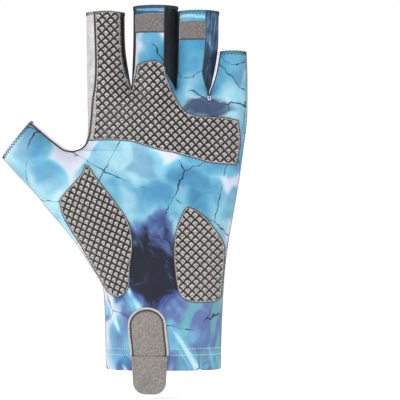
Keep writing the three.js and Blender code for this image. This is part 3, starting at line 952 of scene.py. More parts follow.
# Each patch's scales: width, height and line in millimetres, and the power of the arch
NETS = {
    "main": dict(width=4.8, height=4.75, line=1.22, arch=1.5),
    "thenar": dict(width=4.45, height=4.9, line=1.24, arch=1.45),
    "hypothenar": dict(width=5.0, height=4.8, line=1.02, arch=1.5),
}

# Degrees by which each patch's net is turned
NET_TURNS = {"main": -3, "thenar": 22, "hypothenar": 1}


# The finishes

def fine_knit(finish, wale=0.62, course=0.5):
    """Height of a fine knit: upright ribs crossed by finer level rows."""
    ribs = (finish.x * (2 * math.pi / wale) + (finish.z * (math.pi / course)).sine() * 0.6).sine()
    rows = (finish.z * (2 * math.pi / course)).sine()
    return (ribs * 0.5 + rows * 0.35) * 0.5 + 0.5


# The rim bands above two of the finger tabs: left, right and lower edge, cloth colour and painted highlight
# colour
RIM_BANDS = [
    (-0.351 * PALM_HALF, 0.013 * PALM_HALF, height_of(1.903), "1c3b5e", "5f9cc0"),
    (0.19 * PALM_HALF, 0.54 * PALM_HALF, height_of(1.817), "4f9ab8", "93c8d8"),
]


def shade(finish, place, cloud, ragged):
    """1 in the middle of an ellipse and 0 on its edge, made ragged by a cloud.

    The place is its middle across and up, and half its width and height.
    """
    away_x = (finish.x - place[0]) / place[2]
    away_z = (finish.z - place[1]) / place[3]
    return 1 - away_x * away_x - away_z * away_z + (cloud - 0.5) * ragged


def printed_knit(name, shift, dark_place, bank_place, stars):
    """Smooth stretch knit with a print of water, light stars and cracks, made of noise.

    The noise is shifted by a distance; dark_place and bank_place are ellipses for shade, and
    stars is the size of a cell of light.
    """
    finish = Finish(name, Sheen_Weight=0.1, Sheen_Roughness=0.4, Specular_IOR_Level=0.3)
    bent = finish.waver(26, 9)
    moved = finish.vector("ADD", {0: bent, 1: shift})
    fine = finish.noise(9, 2.0, 0.5, 0.8, moved)
    water = finish.colours(finish.noise(34, 2.0, 0.5, 0.5, moved) + (fine - 0.5) * 0.16, [
        (0.3, "316892"), (0.4, "4d91b4"), (0.5, "74afc7"), (0.6, "97c5d3"), (0.74, "bbd9e1"),
    ])
    deep = finish.channel(finish.noise(26, 1.0, 0.4, 0.5, moved, out="Color"), 1)
    water = finish.mix(water, rgb("2a72a4"), deep.ramp(0.53, 0.67) * 0.55)
    water = finish.mix(water, rgb("3586ad"), finish.z.ramp(156, 172) * 0.55)
    low_cloud = finish.noise(17, 3.0, 0.55, 0.9, moved)
    dusk = shade(finish, dark_place, low_cloud, ragged=3.4)
    bank = shade(finish, bank_place, low_cloud, ragged=3.0)
    cuff = (finish.z + (fine - 0.5) * 30).ramp(52, 34)
    glimmer = finish.noise(21, 2.0, 0.5, 1.3, finish.stretched(1.9, 35), out="Color")
    teal = finish.channel(glimmer, 1).ramp(0.46, 0.59) * finish.x.ramp(-4, 14)
    slate = finish.channel(glimmer, 2).ramp(0.34, 0.52)
    colour = finish.mix(water, rgb("56639c"), cuff * slate * 0.92)
    colour = finish.mix(colour, rgb("62adab"), cuff * teal * 0.7)
    colour = finish.mix(colour, rgb("232d5c"), bank.ramp(-0.2, 0.7) * 0.9)
    violet = dusk.ramp(-0.55, 0.25)
    night = dusk.ramp(0.1, 0.75)
    colour = finish.mix(colour, rgb("39488a"), violet * 0.9)
    colour = finish.mix(colour, rgb("0c0c18"), night * 0.96)
    star = finish.cells(stars, "F1", finish.waver(21, 7), random=0.9)
    open_place = finish.noise(29, 1.0, 0.5, 0.0, moved)
    lit = 1 - night * 0.9
    glow = star.ramp(0.46, 0.7) * open_place.ramp(0.42, 0.55) * lit
    core = star.ramp(0.6, 0.68) * open_place.ramp(0.43, 0.51) * lit
    streak = finish.noise(7.5, 1.5, 0.4, 0.5, finish.stretched(5.5, -27))
    streaks = streak.ramp(0.53, 0.66) * finish.z.ramp(80, 62) * (1 - night * 0.5)
    colour = finish.mix(colour, rgb("83cfe4"), glow * 0.7)
    colour = finish.mix(colour, rgb("70b4d6"), streaks * 0.75)
    colour = finish.mix(colour, rgb("d3d3e1"), core * 0.9)
    colour = finish.mix(colour, rgb("c2e0ea"), streaks * streak.ramp(0.62, 0.72) * 0.8)
    cracks = finish.cells(33, "DISTANCE_TO_EDGE", finish.waver(5.5, 2.1))
    broken = finish.noise(13, 2.0, 0.5, 0.0, moved)
    width = broken.ramp(0.44, 0.66) * 0.009
    crack = (cracks - width).ramp(0.005, 0.0) * broken.ramp(0.42, 0.47)
    colour = finish.mix(colour, rgb("0f1b2b"), crack * 0.88)
    for left, right, low, base, painted_highlight_colour in RIM_BANDS:
        band = finish.z.ramp(low - 0.3, low + 0.3) * finish.x.ramp(left - 0.3, left + 0.3)
        band = band * finish.x.ramp(right + 0.3, right - 0.3)
        # Painted highlight: a lighter stripe across each rim band, 1.2 to 3.6 mm above its lower edge
        level = finish.z + (fine - 0.5) * 3
        painted_highlight = level.ramp(low + 1.2, low + 2.2) * level.ramp(low + 3.6, low + 2.6)
        colour = finish.mix(colour, finish.mix(rgb(base), rgb(painted_highlight_colour), painted_highlight), band * 0.9)
    fibre = finish.noise(0.5, 1.0, 0.6)
    colour = finish.mix(colour, rgb("0b1626"), fibre.ramp(0.45, 0.8) * 0.14)
    finish.paint(Base_Color=colour, Roughness=fibre * 0.12 + 0.42)
    finish.relief(fine_knit(finish) * 0.8 + fibre * 0.2, 0.05, 0.5)
    return finish.material


def lining_cloth():
    """The pale wrong side of the cloth, with the print showing faintly through."""
    finish = Finish("pale lining", Roughness=0.85, Sheen_Weight=0.3)
    through = finish.colours(finish.noise(24, 2.0), [(0.35, "a9bccb"), (0.6, "c9d4dc"), (0.8, "dfe4e8")])
    finish.paint(Base_Color=through)
    finish.relief(fine_knit(finish, 0.8, 0.6), 0.08, 0.6)
    return finish.material


def strip_cloth():
    """Dark knit of the strips between the fingers, streaked along the fingers; the lightest streaks are
    partly painted highlight, and the violet knit has painted shade towards the web.
    """
    finish = Finish("dark strip knit", Sheen_Weight=0.08, Specular_IOR_Level=0.2)
    streak = finish.noise(2.6, 3.0, 0.6, 0.4, finish.stretched(6.0))
    # The light ends of these ramps are partly real streaks in the knit and partly painted highlight
    dark = finish.colours(streak, [(0.35, "040506"), (0.52, "090d12"), (0.64, "17232b"), (0.8, "54666f")])
    violet = finish.colours(streak, [(0.3, "15233f"), (0.45, "2a4868"), (0.58, "567b9c"), (0.74, "a9b0c6")])
    # Painted shade: the violet knit darkens towards the bottom, down between the ring and little fingers
    violet = finish.mix(violet, rgb("0e1a2e"), (finish.z + streak * 30).ramp(212, 184) * 0.75)
    colour = finish.mix(dark, violet, finish.x.ramp(17, 20))
    wedge = finish.z.ramp(178, 164) * finish.x.ramp(-8, -12)
    colour = finish.mix(colour, rgb("2f7299"), wedge * 0.9)
    finish.paint(Base_Color=colour, Roughness=streak * 0.2 + 0.4)
    finish.relief(fine_knit(finish), 0.05, 0.5)
    return finish.material


def crotch_cloth():
    """Pale knit of the strip round the crotch: grey up the index finger, pinkish on the thumb."""
    finish = Finish("pale strip knit", Sheen_Weight=0.3, Specular_IOR_Level=0.35)
    soft = finish.noise(6, 3.0, 0.6, 0.3)
    grey = finish.colours(soft, [(0.3, "a8a6a7"), (0.55, "c0bebf"), (0.75, "d6d4d5")])
    pink = finish.colours(soft, [(0.3, "c4b2bb"), (0.6, "dccbd4")])
    finish.paint(Base_Color=finish.mix(grey, pink, finish.x.ramp(-54, -60)), Roughness=soft * 0.15 + 0.55)
    finish.relief(fine_knit(finish, 0.7, 0.55), 0.07, 0.6)
    return finish.material


def suede_cloth(name, light, dark, grain=0.75):
    """Napped suede: mottled by soft clouds and speckled by short fibres."""
    finish = Finish(name, Roughness=0.88, Sheen_Weight=0.45, Sheen_Roughness=0.6, Specular_IOR_Level=0.25)
    nap = finish.noise(grain, 3.0, 0.7)
    cloud = finish.noise(7, 2.0, 0.5)
    colour = finish.mix(rgb(dark), rgb(light), nap.ramp(0.36, 0.64))
    colour = finish.mix(colour, rgb(dark), cloud.ramp(0.5, 0.75) * 0.35)
    finish.paint(Base_Color=colour)
    finish.relief(nap, 0.22, 0.7)
    return finish.material


def scaled_cloth(net):
    """Pale suede with the raised black net of scales; dark along its stitched edge."""
    finish = Finish("scaled patch " + net, Sheen_Weight=0.2, Specular_IOR_Level=0.35)
    x, z = turned_by(finish.x, finish.z, NET_TURNS[net])
    worn = finish.noise(3.2, 2.0)
    lines = scale_lines(x + (worn - 0.5) * 0.3, z, **NETS[net])
    dashes = scale_dashes(x, z, NETS[net]["width"], NETS[net]["height"])
    inside = finish.node("ShaderNodeAttribute", {"attribute_name": "inside"}, None, out="Fac")
    grain = finish.noise(0.8, 3.0, 0.7)
    ground = finish.mix(rgb("7d7671"), rgb("c4beb9"), grain.ramp(0.33, 0.62))
    ground = finish.mix(ground, rgb("6f6763"), dashes * 0.8)
    lines = lines * inside.ramp(0.6, 0.95)
    rim = inside.ramp(0.52, 0.25)
    black = (lines + rim * 0.9).least(1.0)
    colour = finish.mix(ground, rgb("17161a"), black)
    finish.paint(Base_Color=colour, Roughness=0.82 - lines * 0.42)
    finish.relief(lines * 0.8 + grain * 0.25 + dashes * 0.15, 0.2, 0.8)
    return finish.material


def cord_cloth(name, light, dark, turns=1.1, rough=0.6):
    """Twisted sewing cord: slanting ply, lighter on top, a painted highlight on the crest of each ply."""
    finish = Finish(name, Roughness=rough, Sheen_Weight=0.3)
    ply = ((finish.x + finish.z * 0.8 + finish.y * 0.6) * (2 * math.pi / turns)).sine() * 0.5 + 0.5
    # Painted highlight: the colour is lighter where the ply's bump is highest, mixed with random tone
    finish.paint(Base_Color=finish.mix(rgb(dark), rgb(light), ply * 0.6 + finish.noise(1.2) * 0.4))
    finish.relief(ply, 0.12, 0.7)
    return finish.material


printed = printed_knit(
    "palm print", shift=(13, 0, 41), dark_place=(-6, 60, 24, 26), bank_place=(26, 151, 19, 7), stars=42,
)
back_print = printed_knit(
    "back print", shift=(91, 30, 7), dark_place=(4, 56, 26, 28), bank_place=(12, 128, 17, 11), stars=36,
)
dark_knit = strip_cloth()
pale_knit = crotch_cloth()
lining = lining_cloth()
suede = suede_cloth("grey suede", "928c87", "6b6560")
tab_suede = suede_cloth("dark grey suede", "7d7673", "544d4b")
channel_suede = suede_cloth("dark channel suede", "5b5653", "35312f")
rim_suede = suede_cloth("light rim suede", "cbc7c4", "a8a29e", grain=0.6)
scaled = {net: scaled_cloth(net) for net in NETS}
cord_black = cord_cloth("black cord", "34353a", "0c0d10")
cord_white = cord_cloth("white cord", "f2f2f4", "dfe1e6", turns=3.2, rough=0.5)
thread_white = cord_cloth("white thread", "f2f2f4", "c2c4cc", turns=0.5, rough=0.5)
thread_pale = cord_cloth("pale grey thread", "c4c0bd", "8f8a87", turns=0.5, rough=0.5)
thread_navy = cord_cloth("navy thread", "2c4f78", "16283f", turns=0.5, rough=0.5)
thread_black = cord_cloth("black thread", "3a3b40", "0b0c0f", turns=0.5, rough=0.5)


# The pieces

def cloth_piece(name, blocks, node, material):
    """A cloth piece of joined grids, with its wall inwards, in place of its solid."""
    piece = new_piece(name, welded(blocks), material, lining)
    thicken(piece, CLOTH, inside=True)
    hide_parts(node)
    return piece


def stretched_on_hand(piece):
    """Reads a panel's face areas and point places, and does nothing with them."""
    faces = np.empty(len(piece.data.polygons), np.float32)
    piece.data.polygons.foreach_get("area", faces)
    places = np.empty(len(piece.data.vertices) * 3, np.float32)
    piece.data.vertices.foreach_get("co", places)


blocks, palm_side = cloth_blocks()
palm_skin = object_of("palm_skin", welded([(grid, True) for grid in palm_side]))
palm_cloth = cloth_piece("palm_cloth", blocks["palm_panel"], "palm_panel", printed)
back_cloth = cloth_piece("back_cloth", blocks["back_panel"], "back_panel", back_print)
stretched_on_hand(palm_cloth)
stretched_on_hand(back_cloth)
for gap in FOLDS:
    node = "fourchette_" + gap
    cloth_piece("finger_strip_" + gap, blocks[node], node, dark_knit)
cloth_piece("crotch_strip", blocks["thumb_gusset"], "thumb_gusset", pale_knit)


# The grip patches: places in the plane of the hand in shares, as on the solids

def seam_path(finger, edge, v):
    """Plan places of a finger's seam on the palm side, from the hem towards the rim."""
    share = finger_seam(finger, -1, edge, v)
    u = 1 - share if edge else share
    return blend(finger_edge(finger, 0, v), finger_edge(finger, 1, v), u[:, None])


def sideways(path, by):
    """A path moved to its right by a distance."""
    way = unit(np.gradient(path, axis=0))
    return path + by * np.stack([way[:, 1], -way[:, 0]], -1)


def at_heights(path, heights):
    """Places on a rising path at the given heights."""
    return np.stack([np.interp(heights, path[:, 1], path[:, 0]), heights], -1)


PIPING_HALF = 0.65
PIPING_LEAVES_THUMB = -55.0
PIPING_JOINS_INDEX = 127.4
PATCH_CELL = 0.33
v_index = np.linspace(1.0, 4, 200)
index_seam = seam_path(FINGER["index"], 0, v_index)
index_right_seam = seam_path(FINGER["index"], 1, v_index)
thumb_v = np.linspace(2, 1, 60)
thumb_outer, thumb_inner = thumb_edges(thumb_v)
thumb_path = blend(thumb_inner, thumb_outer, thumb_seam(thumb_v)[:, None])
PIPING = np.vstack([
    thumb_path[thumb_path[:, 0] < PIPING_LEAVES_THUMB],
    hand_spots([(-1.145, 0.7687)]),
    index_seam[index_seam[:, 1] > PIPING_JOINS_INDEX],
])


def spread(points, count):
    """Even places along a curve through the given (share across, share up) rows."""
    return along(hand_spots(points), np.linspace(0, 1, count))


def count_of(length):
    """How many grid lines a length takes."""
    return max(int(round(length / PATCH_CELL)) + 1, 4)


def main_patch_grids():
    """Five four-sided grids: index lobe, its palm part, middle palm part, middle lobe, band."""
    low, high = 0.8164 * WEB_HEIGHT, WEB_HEIGHT * 0.99
    rim = WEB_HEIGHT + 0.921 * FINGER_LENGTH
    rows_low, rows_high = count_of(high - low), count_of(rim - high)
    heights_low, heights_high = np.linspace(low, high, rows_low), np.linspace(high, rim, rows_high)
    piping_side = sideways(index_seam, 0.2)
    left_low = at_heights(piping_side, heights_low)
    left_high = at_heights(piping_side, heights_high)
    web = hand_spots([(-0.403, 0.99)])[0]
    inner = sideways(index_right_seam, -0.1)
    right_high = at_heights(inner, heights_high)
    right_high[:, 0] = blend(web[0], right_high[:, 0], smooth(heights_high, high, high + 7))
    lower_edge = spread([
        (-0.94, 0.8134), (-0.642, 0.8146), (-0.327, 0.8042), (-0.176, 0.7902), (-0.037, 0.7791),
        (0.113, 0.771), (0.341, 0.7546), (0.655, 0.7331), (0.95, 0.7276),
    ], 400)
    split_one, split_two = web[0], 0.113 * PALM_HALF
    foot = {
        name: np.array([x, np.interp(x, lower_edge[:, 0], lower_edge[:, 1])])
        for name, x in (("one", split_one + 1.5), ("two", split_two))
    }
    left_foot = left_low[0]
    columns = [count_of(19), count_of(23), count_of(40)]

    def lower(start, end, count):
        """Places on the lower edge between two of its points."""
        x = np.linspace(start[0], end[0], count)
        return np.stack([x, np.interp(x, lower_edge[:, 0], lower_edge[:, 1])], -1)

    def straight(start, end, count):
        """Even places on the straight line between two points."""
        return blend(start, end, np.linspace(0, 1, count)[:, None])

    mid_one = straight(foot["one"], web, rows_low)
    shoulder = hand_spots([(0.113, 0.986)])[0]
    mid_two = straight(foot["two"], shoulder, rows_low)
    bottom_one = lower(left_foot, foot["one"], columns[0])
    bottom_one[0] = left_foot
    index_palm = coons(bottom_one, straight(left_low[-1], web, columns[0]), left_low, mid_one)
    top = straight(left_high[-1], right_high[-1], columns[0])
    top[:, 1] += 0.7 * np.sin(np.linspace(0, math.pi, columns[0]))
    index_lobe = coons(straight(left_low[-1], web, columns[0]), top, left_high, right_high)
    middle_bottom = straight(web, shoulder, columns[1])
    middle_palm = coons(lower(foot["one"], foot["two"], columns[1]), middle_bottom, mid_one, mid_two)
    lobe_left = spread([(-0.403, 0.99), (-0.37, 1.08), (-0.351, 1.145), (-0.328, 1.28)], count_of(17))
    lobe_right = spread([(0.113, 0.986), (0.076, 1.05), (0.037, 1.145), (0.02, 1.26)], count_of(17))
    lobe_top = spread([(-0.328, 1.28), (-0.2, 1.325), (-0.06, 1.325), (0.02, 1.26)], columns[1])
    for end, corner in ((lobe_left, web), (lobe_right, shoulder)):
        end[0] = corner
    lobe_top[0], lobe_top[-1] = lobe_left[-1], lobe_right[-1]
    middle_lobe = coons(middle_bottom, lobe_top, lobe_left, lobe_right)
    band_top = spread([
        (0.113, 0.986), (0.195, 0.9466), (0.289, 0.9147), (0.378, 0.904), (0.58, 0.8987),
        (0.77, 0.895), (0.945, 0.886),
    ], columns[2])
    band_top[0] = shoulder
    band_right = spread([(0.95, 0.7276), (0.975, 0.8), (0.945, 0.886)], rows_low)
    band_bottom = lower(foot["two"], band_right[0], columns[2])
    band_right[0], band_right[-1] = band_bottom[-1], band_top[-1]
    band = coons(band_bottom, band_top, mid_two, band_right)
    outline = np.vstack([
        bottom_one, lower(foot["one"], foot["two"], columns[1]), band_bottom, band_right,
        band_top[::-1], lobe_right, lobe_top[::-1], lobe_left[::-1], right_high, top[::-1],
        left_high[::-1], left_low[::-1],
    ])
    return [index_palm, index_lobe, middle_palm, middle_lobe, band], outline


THENAR = hand_spots([
    (-1.014, 0.7258), (-1.06, 0.7), (-1.19, 0.665), (-1.355, 0.626), (-1.45, 0.6), (-1.465, 0.575),
    (-1.465, 0.55), (-1.411, 0.502), (-1.32, 0.4485), (-1.2, 0.379), (-1.03, 0.3025), (-0.93, 0.272),
    (-0.76, 0.2585), (-0.61, 0.2834), (-0.545, 0.366), (-0.475, 0.46), (-0.515, 0.5264), (-0.67, 0.5945),
    (-0.865, 0.6724),
])
HYPOTHENAR = hand_spots([
    (0.35, 0.577), (0.24, 0.53), (0.185, 0.4785), (0.175, 0.413), (0.195, 0.3595), (0.225, 0.3184),
    (0.31, 0.2626), (0.44, 0.2454), (0.7, 0.2405), (0.975, 0.2503), (1.012, 0.3067), (1.01, 0.38),
    (0.968, 0.4417), (0.77, 0.503), (0.53, 0.5583),
])


def laid_relief(grid, height):
    """A grid laid on the palm and raised off it by a height, along the palm's normals."""
    here, outward = lay_with_normals(grid, palm_skin)
    return here + outward * height[..., None]


PATCH_WALL = 0.5
PATCH_RISE = 0.9
FINGER_TAB_RISE = 1.0
PATCH_SUNK = -0.35
NET_RISE = 0.25


def round_again(outline):
    """An outline with its first point once more at its end."""
    return np.vstack([outline, outline[:1]])


def patch_height(grid, outline, full):
    """Height of a patch: its full height, turned down under its edge over half a millimetre."""
    edge = distance_to(round_again(outline), grid)
    return blend(PATCH_SUNK, full, smooth(edge, -0.05, 0.55))


def net_height(grid, net):
    """The raised net of a patch: its lines stand a quarter of a millimetre off the cloth."""
    x, z = turned_by(grid[..., 0], grid[..., 1], NET_TURNS[net])
    return NET_RISE * scale_lines(x, z, **NETS[net])


def patch(name, node, grids, outline, full, material, plain_by=None, net=None):
    """A patch of cloth of one or more grids, laid on the palm in place of its solid.

    Its attribute "inside" is the distance in millimetres from its edge. Beside the path
    plain_by it is held down for up to 2 mm more, so that the margin there stays plain.
    """
    raised = []
    for grid in grids:
        lift = patch_height(grid, outline, full)
        if net:
            lift = lift + net_height(grid, net) * smooth(lift, full * 0.8, full)
        raised.append((laid_relief(grid, lift), True))
    shape = welded(raised)
    piece = new_piece(name, shape, material)
    plan = shape[0][:, [0, 2]]
    inside = distance_to(round_again(outline), plan)
    if plain_by is not None:
        margin = blend(2.4, 0.6, smooth(plan[:, 1], WEB_HEIGHT - 16, WEB_HEIGHT + 4))
        inside = np.minimum(inside, np.maximum(distance_to(plain_by, plan) - margin, 0) + 0.6)
    values = piece.data.attributes.new("inside", "FLOAT", "POINT")
    values.data.foreach_set("value", inside.astype(np.float32))
    thicken(piece, PATCH_WALL)
    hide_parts(node)


main_grids, main_outline = main_patch_grids()
patch("grip_main", "grip_patch_main", main_grids, main_outline, PATCH_RISE,
      scaled["main"], plain_by=index_seam, net="main")
PATCH_EDGES = {
    name: along(outline, np.linspace(0, 1, 320), closed=True)
    for name, outline in (("thenar", THENAR), ("hypothenar", HYPOTHENAR))
}
for name, edge in PATCH_EDGES.items():
    grid = rings(edge, edge.mean(0), count=70)
    patch("grip_" + name, "grip_patch_" + name, [grid], edge, PATCH_RISE,
          scaled[name], net=name)


# Finger tabs

def box_grid(low, high, step):
    """A grid of places over a rectangle."""
    x = np.linspace(low[0], high[0], int((high[0] - low[0]) / step) + 2)
    z = np.linspace(low[1], high[1], int((high[1] - low[1]) / step) + 2)
    grid = np.stack(np.meshgrid(x, z), -1)
    outline = np.array([(low[0], low[1]), (high[0], low[1]), (high[0], high[1]), (low[0], high[1])])
    return grid, outline


FINGER_TABS = {
    "middle": ((-0.351, 1.684), (0.013, 1.903)),
    "ring": ((0.212, 1.598), (0.54, 1.817)),
}
for name, (low, high) in FINGER_TABS.items():
    low, high = hand_spots([low, high])
    grid, outline = box_grid(low, high, step=0.35)
    patch("pull_tab_" + name, "finger_tab_" + name, [grid], outline, FINGER_TAB_RISE,
          tab_suede)


# The piping round the thumb's crotch and up the index finger

EVEN_STEP = 0.5


def cord_on_palm(path, radius):
    """A slightly flat cord laid along a path in the plane of the hand."""
    count = int(running_length(path)[-1] / EVEN_STEP) + 2
    here, outward = lay_with_normals(along(path, np.linspace(0, 1, count)), palm_skin)
    return tube_grid(here + outward * 0.2, outward, radius, sides=10, flatten=0.8)


piping_cord = cord_on_palm(PIPING[::4], PIPING_HALF)
piping = closed_piece("crotch_cord", [piping_cord], cord_black)
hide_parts("crotch_piping")


# The wrist tab: a base with a corded rim on the cuff, and a padded pull that hangs past the hem

TAB_HALF = 0.233 * PALM_HALF
TAB_MIDDLE = (tab_low[0] + tab_high[0]) / 2
PULL_SEAM = HEM_ROWS[0]
TAB_LEAN = 1.4
FOOT_NARROWS = 0.9


def arch_path(half, top, foot, count=160):
    """An arch from its right foot over its top to its left foot: half an ellipse on two sides."""
    rise = 0.95 * half
    turn = np.linspace(0, math.pi, count // 2)
    over = np.stack([half * np.cos(turn), top - rise + rise * np.sin(turn)], -1)
    path = along(np.vstack([[(half, foot)], over, [(-half, foot)]]), np.linspace(0, 1, count))
    path[:, 0] += TAB_MIDDLE + TAB_LEAN * smooth(-path[:, 1], -26, -PULL_SEAM)
    return path


def foot_path(half, foot, top, corner, count=120):
    """A rounded foot from its left top round its two corners to its right top."""
    inner = half - corner - FOOT_NARROWS
    left = np.linspace(math.pi, 1.5 * math.pi, 24)
    right = np.linspace(1.5 * math.pi, 2 * math.pi, 24)
    round_left = np.stack([-inner + corner * np.cos(left), foot + corner + corner * np.sin(left)], -1)
    round_right = np.stack([inner + corner * np.cos(right), foot + corner + corner * np.sin(right)], -1)
    path = np.vstack([[(-half * 0.99, top)], round_left, round_right, [(half * 0.99, top)]])
    length = running_length(path)
    at = np.linspace(0, length[-1], count)
    return at_lengths(path, length, at) + (TAB_MIDDLE + TAB_LEAN, 0)


def lay_tab(plan):
    """Places of the wrist tab on the cuff; below the hem the tab hangs straight down."""
    held = plan.copy()
    held[..., 1] = np.maximum(held[..., 1], 1.0)
    here, outward = lay_with_normals(held, palm_skin)
    here[..., 2] = plan[..., 1]
    return here, outward


def pad_grids(outline, centre, low, high, crown, edge_width):
    """Front and back grid of a pad: the front rises from low at the edge to high, then crowns."""
    grid = rings(outline, centre, count=54)
    here, outward = lay_tab(grid)
    inside = distance_to(outline, grid)
    rise = blend(low, high, smooth(inside, -0.05, edge_width) ** 0.6) + crown * smooth(inside, 0, 8)
    front = here + outward * rise[..., None]
    return front, here + outward * low


SWELL_SCALE = 10
SWELL_STEPS = 20
SWELL_LIMIT = 1.2


def filled(front, back, pressure, hold):
    """A pad's front after its filling swells it.

    Cloth under pressure, ten times the size for a steady run, held where hold is true. A point
    moves by at most SWELL_LIMIT.
    """
    scale = SWELL_SCALE * MM
    shape = welded([(front, True), (back, False)])
    points = shape[0]
    pad = object_of("pad", shape, scale)
    held = pad.vertex_groups.new(name="held")
    held.add(np.nonzero(hold(points))[0].tolist(), 1.0, "REPLACE")
    swell = pad.modifiers.new("swell", "CLOTH")
    swell.settings.quality = 6
    swell.settings.mass = 0.2
    swell.settings.tension_stiffness = 30
    swell.settings.compression_stiffness = 30
    swell.settings.bending_stiffness = 1.5
    swell.settings.use_pressure = True
    swell.settings.uniform_pressure_force = pressure
    swell.settings.vertex_group_mass = "held"
    swell.settings.effector_weights.gravity = 0
    swell.collision_settings.use_self_collision = False
    for step in range(1, SWELL_STEPS + 1):
        bpy.context.scene.frame_set(step)
    shift = shaped_points(pad) / scale - points
    bpy.context.scene.frame_set(1)
    take_out(pad)
    far = np.linalg.norm(shift, axis=1, keepdims=True)
    shift *= np.minimum(1, SWELL_LIMIT / np.maximum(far, 1e-6))
    keys = {tuple(key): place for place, key in enumerate(weld_keys(points).tolist())}
    places = [keys[tuple(key)] for key in weld_keys(front.reshape(-1, 3)).tolist()]
    return front + shift[places].reshape(front.shape)


base_path = arch_path(TAB_HALF, tab_high[2], PULL_SEAM - 0.8)
base_foot = blend(base_path[-1], base_path[0], np.linspace(0, 1, 40)[1:, None])
base_outline = np.vstack([base_path, base_foot])
base_front, base_back = pad_grids(
    base_outline, np.array([TAB_MIDDLE, 20.0]), low=0.1, high=1.0, crown=0.0, edge_width=0.5,
)
new_piece("cuff_tab_base", welded([(base_front, True), (base_back, False)]), channel_suede)

pull_top = arch_path(TAB_HALF - 1.9, tab_high[2] - 2.1, PULL_SEAM, count=150)
pull_foot = foot_path(TAB_HALF - 0.3, tab_low[2] + 0.6, PULL_SEAM - 1.5, corner=7.0)
pull_outline = np.vstack([pull_top, pull_foot, pull_top[:1]])
pull_front, pull_back = pad_grids(
    pull_outline, np.array([TAB_MIDDLE, 10.0]), low=0.9, high=2.3, crown=0.35, edge_width=0.8,
)
seam_dip = np.exp(-(((pull_front[..., 2] - PULL_SEAM) / 0.7) ** 2))


def pull_is_held(places):
    """Where the pull is sewn down: its edge and the row of stitches across it."""
    plan = places[:, [0, 2]]
    return (distance_to(pull_outline, plan) < 0.6) | (np.abs(plan[:, 1] - PULL_SEAM) < 0.5)


pull_front = filled(pull_front, pull_back, pressure=6.0, hold=pull_is_held)
pull_front[..., 1] += seam_dip * 0.6
pull = new_piece("cuff_tab_pull", welded([(pull_front, True), (pull_back, False)]), suede)
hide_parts("wrist_tab")


rim_path = arch_path(TAB_HALF - 0.45, tab_high[2] - 0.45, PULL_SEAM - 0.4)
here, outward = lay_tab(rim_path)
rim_cord = tube_grid(here + outward * 1.15, outward, radius=0.62)
closed_piece("cuff_tab_rim", [rim_cord], rim_suede)


# Threads: short stitches in rows, and zigzags over the rims

def beads(path, outward, length, gap, radius):
    """Short stitches along a path: ellipsoids lying along it.

    A stitch is as thick as the radius times the root of 1 less the square of the share from its
    middle to its end.
    """
    lengths = running_length(path)
    centres = np.arange(gap, lengths[-1] - length / 2, length + gap)
    foot, tip = (at_lengths(path, lengths, centres + by) for by in (-length / 2, length / 2))
    ahead = unit(tip - foot)[:, None, None]
    up = unit(at_lengths(outward, lengths, centres))[:, None, None]
    side = np.cross(ahead, up)
    middle = at_lengths(path, lengths, centres)[:, None, None]
    turn = np.linspace(0, 2 * math.pi, 7)[None, None, :, None]
    share = np.linspace(-1, 1, 6)[None, :, None, None]
    fat = np.sqrt(np.clip(1 - share**2, 0, 1))
    around = (side * np.cos(turn) + up * np.sin(turn)) * (fat * radius)
    return list(middle + ahead * (share * length / 2) + around)


HEM_POINTS = 40


def hem_ring(height):
    """A path round the cuff at a height, with its outward normals."""
    v = np.full(HEM_POINTS, height / crotch_height)
    u = turned(np.linspace(0, math.pi, HEM_POINTS))
    half = {}
    for side in SIDES:
        parts = [thumb_skin(u, v, side)] + [finger_skin(finger, u, v, side) for finger in FINGERS]
        half[side] = np.vstack([part[:-1] for part in parts[:-1]] + [parts[-1]])
    ring = np.vstack([half[-1], half[1][::-1][1:]])
    outward = np.cross(np.gradient(ring, axis=0), (0, 0, -1.0))
    outward *= np.sign(np.sum(outward * (ring - ring.mean(0)), axis=1, keepdims=True))
    return ring, unit(outward)


hem_stitches = []
for height in HEM_ROWS:
    ring, outward = hem_ring(height)
    behind_tab = (ring[:, 1] < 0) & (np.abs(ring[:, 0] - TAB_MIDDLE) < TAB_HALF - 1)
    cut = np.nonzero(behind_tab)[0]
    ring = np.roll(ring, -cut[-1], axis=0)[: len(ring) - len(cut)]
    outward = np.roll(outward, -cut[-1], axis=0)[: len(outward) - len(cut)]
    hem_stitches += beads(ring + outward * 0.08, outward, length=0.85, gap=0.75, radius=0.3)
closed_piece("hem_stitches", hem_stitches, thread_white)


CLOSE_BY = 0.004


def skin_path(finger, side, u, v):
    """A path on a finger's skin, with its outward normals from places close by."""
    here = finger_skin(finger, u, v, side)
    right = finger_skin(finger, np.clip(u + CLOSE_BY, 0, 1), v, side)
    left = finger_skin(finger, np.clip(u - CLOSE_BY, 0, 1), v, side)
    up = finger_skin(finger, u, v + CLOSE_BY, side)
    return here, unit(np.cross(right - left, up - here) * -side)


seam_cords = []
white_cords = []
for finger in FINGERS:
    for side in SIDES:
        for edge in (0, 1):
            if (finger["right"] if edge else finger["left"]) not in FOLDS:
                continue
            v = np.linspace(2.75, 3.995, 120)
            seam = finger_seam(finger, side, edge, v)
            v, seam = v[seam > 0.002], seam[seam > 0.002]
            here, outward = skin_path(finger, side, 1 - seam if edge else seam, v)
            seam_cords.append(tube_grid(here, outward, radius=0.34, flatten=0.8))
            if side < 0 and finger["name"] == "little":
                for shift in (-0.9, 0.9):
                    white_cords.append(tube_grid(here + (shift, -0.2, 0), outward, radius=0.4))


# A loop of the white cord where it ends at the web
LOOP_HEIGHT = 157.2
turn = np.linspace(0, 2 * math.pi, 25)
loop = np.stack([0.85 * np.cos(turn), 1.25 * np.sin(turn)], -1)
loop = loop + (edge_at("ring_little", LOOP_HEIGHT), LOOP_HEIGHT)
here, outward = lay_with_normals(loop, palm_skin)
white_cords.append(tube_grid(here + outward * 0.2, outward, radius=0.32))


